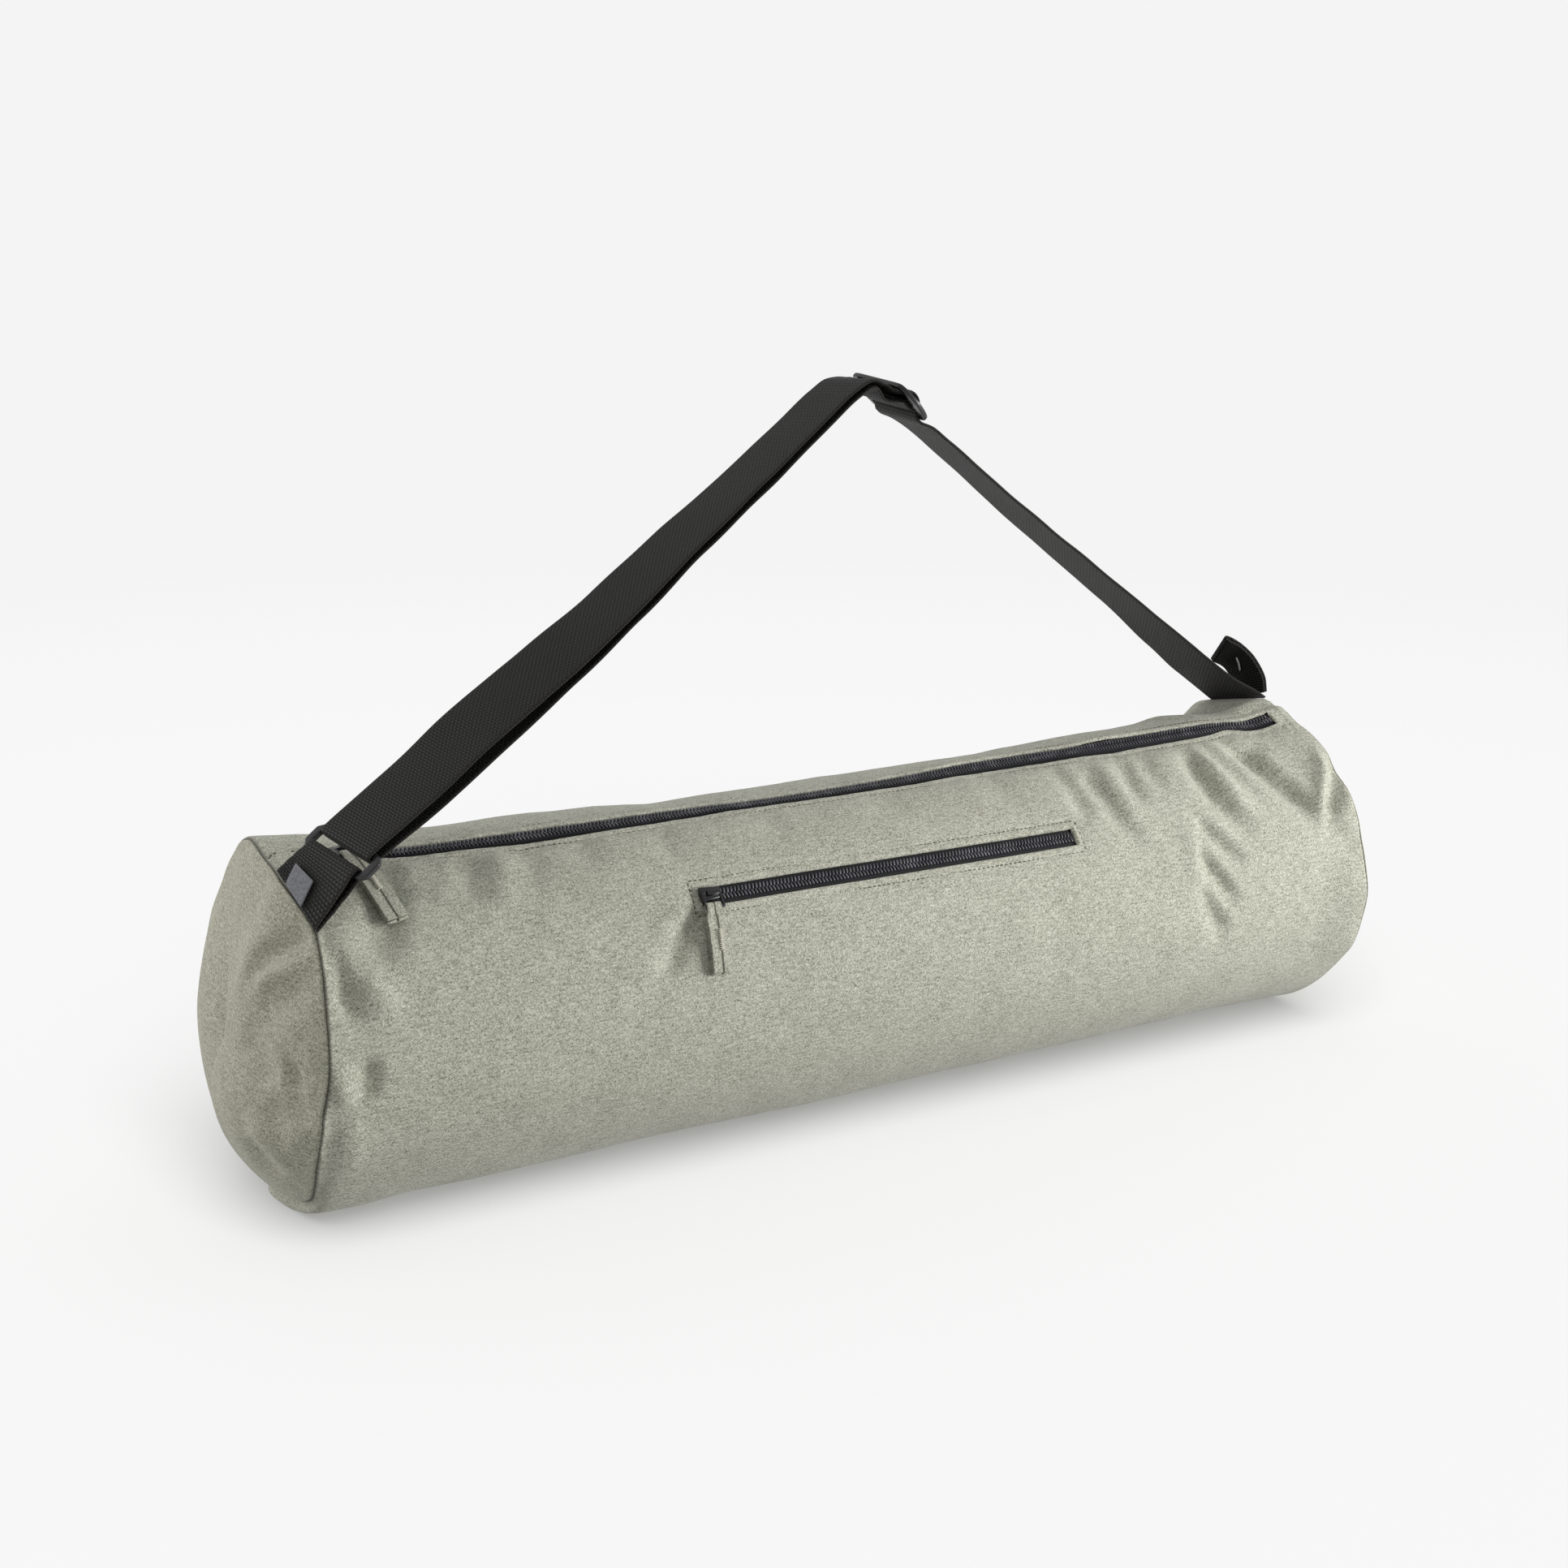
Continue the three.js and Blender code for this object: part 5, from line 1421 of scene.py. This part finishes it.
FLOOR_ALBEDO = 0.5
FLOOR_GLOW = 0.24
FLOOR_FADE = (0.9, 2.0)
BACKDROP = 0.905
WORLD_DIM = 0.36
WORLD_BRIGHT = 0.62
WORLD_TOWARDS = (0.42, 0.75, 0.5)

# Each lamp's name, kind, power, place and aim, and its shape
KEY = ("key_softbox", "AREA", 18.0, (0.98, -0.95, 0.34), (0.1, -0.05, 0.1))
KEY_SHAPE = {"shape": "RECTANGLE", "size": 0.8, "size_y": 0.62}
SIDE = ("side_softbox", "AREA", 9.5, (-1.36, 0.92, 0.52), (-0.3, 0, 0.1))
SIDE_SHAPE = {"shape": "RECTANGLE", "size": 0.9, "size_y": 0.9}
OVERHEAD = ("overhead", "SUN", 3.5, (-0.5, -1.3, 1.7), (0, 0, 0))
OVERHEAD_SHAPE = {"angle": math.radians(60)}

# The camera: yaw and pitch in degrees, roll in radians, its lens and its place
CAMERA_YAW = 30.595
CAMERA_PITCH = 14.003
CAMERA_ROLL = 0.0073
CAMERA_LENS = 49.666
CAMERA_PLACE = Vector((-584.33, -937.81, 441.09))


def floor():
    """A pale floor that fades into the backdrop far from the bag."""
    finish = Finish("floor", Roughness=0.9, Specular_IOR_Level=0.0, Emission_Strength=1.0)
    spot = finish.place()
    reach = finish.node("ShaderNodeVectorMath", {"operation": "LENGTH"}, {0: spot}, 1)
    finish.feed("Base Color", (FLOOR_ALBEDO, FLOOR_ALBEDO, FLOOR_ALBEDO, 1))
    finish.feed("Emission Color", (FLOOR_GLOW, FLOOR_GLOW, FLOOR_GLOW, 1))
    finish.feed("Alpha", 1.0 - reach.between(*FLOOR_FADE))
    bm = bmesh.new()
    bmesh.ops.create_grid(bm, x_segments=2, y_segments=2, size=3.0)
    made = placed_object(bm, "floor", finish.material)
    made.visible_diffuse = False
    return made


def world_light():
    """White to the camera; as light it is brighter behind the bag than on the camera's side."""
    sky = Finish("studio", "worlds", "Background", Color=(1, 1, 1, 1))
    bpy.context.scene.world = sky.material
    way = sky.node("ShaderNodeTexCoord")
    facing = sky.node("ShaderNodeVectorMath", {"operation": "DOT_PRODUCT"}, {0: way, 1: WORLD_TOWARDS}, 1)
    to_camera = sky.node("ShaderNodeLightPath")
    light = facing.onto(-0.6, 0.75, WORLD_DIM, WORLD_BRIGHT)
    sky.feed("Strength", sky.node("ShaderNodeMix", None, {0: to_camera, 2: light, 3: BACKDROP}))


def lamp(name, kind, energy, place, aim, receivers, **settings):
    """A soft light that falls only on some of the objects."""
    light = bpy.data.lights.new(name, kind)
    light.energy = energy
    for setting, value in settings.items():
        setattr(light, setting, value)
    made = bpy.data.objects.new(name, light)
    made.location = place
    made.rotation_euler = (Vector(aim) - Vector(place)).to_track_quat("-Z", "Y").to_euler()
    bpy.context.scene.collection.objects.link(made)
    made.light_linking.receiver_collection = receivers


def lights(ground):
    bag = bpy.data.collections.new("lit_bag")
    for made in bpy.context.scene.objects:
        if made.type == "MESH" and made is not ground:
            bag.objects.link(made)
    below = bpy.data.collections.new("lit_floor")
    below.objects.link(ground)
    world_light()
    lamp(*KEY, bag, **KEY_SHAPE)
    lamp(*SIDE, bag, **SIDE_SHAPE)
    lamp(*OVERHEAD, below, **OVERHEAD_SHAPE)


def camera():
    yaw, pitch, roll = math.radians(CAMERA_YAW), math.radians(CAMERA_PITCH), CAMERA_ROLL
    ahead = Vector((math.sin(yaw) * math.cos(pitch), math.cos(yaw) * math.cos(pitch), -math.sin(pitch)))
    right = Vector((math.cos(yaw), -math.sin(yaw), 0))
    up = right.cross(ahead)
    right, up = right * math.cos(roll) + up * math.sin(roll), up * math.cos(roll) - right * math.sin(roll)
    lens = bpy.data.cameras.new("camera")
    lens.lens = CAMERA_LENS
    lens.sensor_width = 36
    lens.clip_start = 0.01
    lens.clip_end = 100
    eye = bpy.data.objects.new("camera", lens)
    bpy.context.scene.collection.objects.link(eye)
    place = Matrix((right, up, -ahead)).transposed().to_4x4()
    place.translation = CAMERA_PLACE * MM
    eye.matrix_world = place
    bpy.context.scene.camera = eye


lights(floor())
camera()
bpy.context.scene.view_settings.view_transform = "Standard"
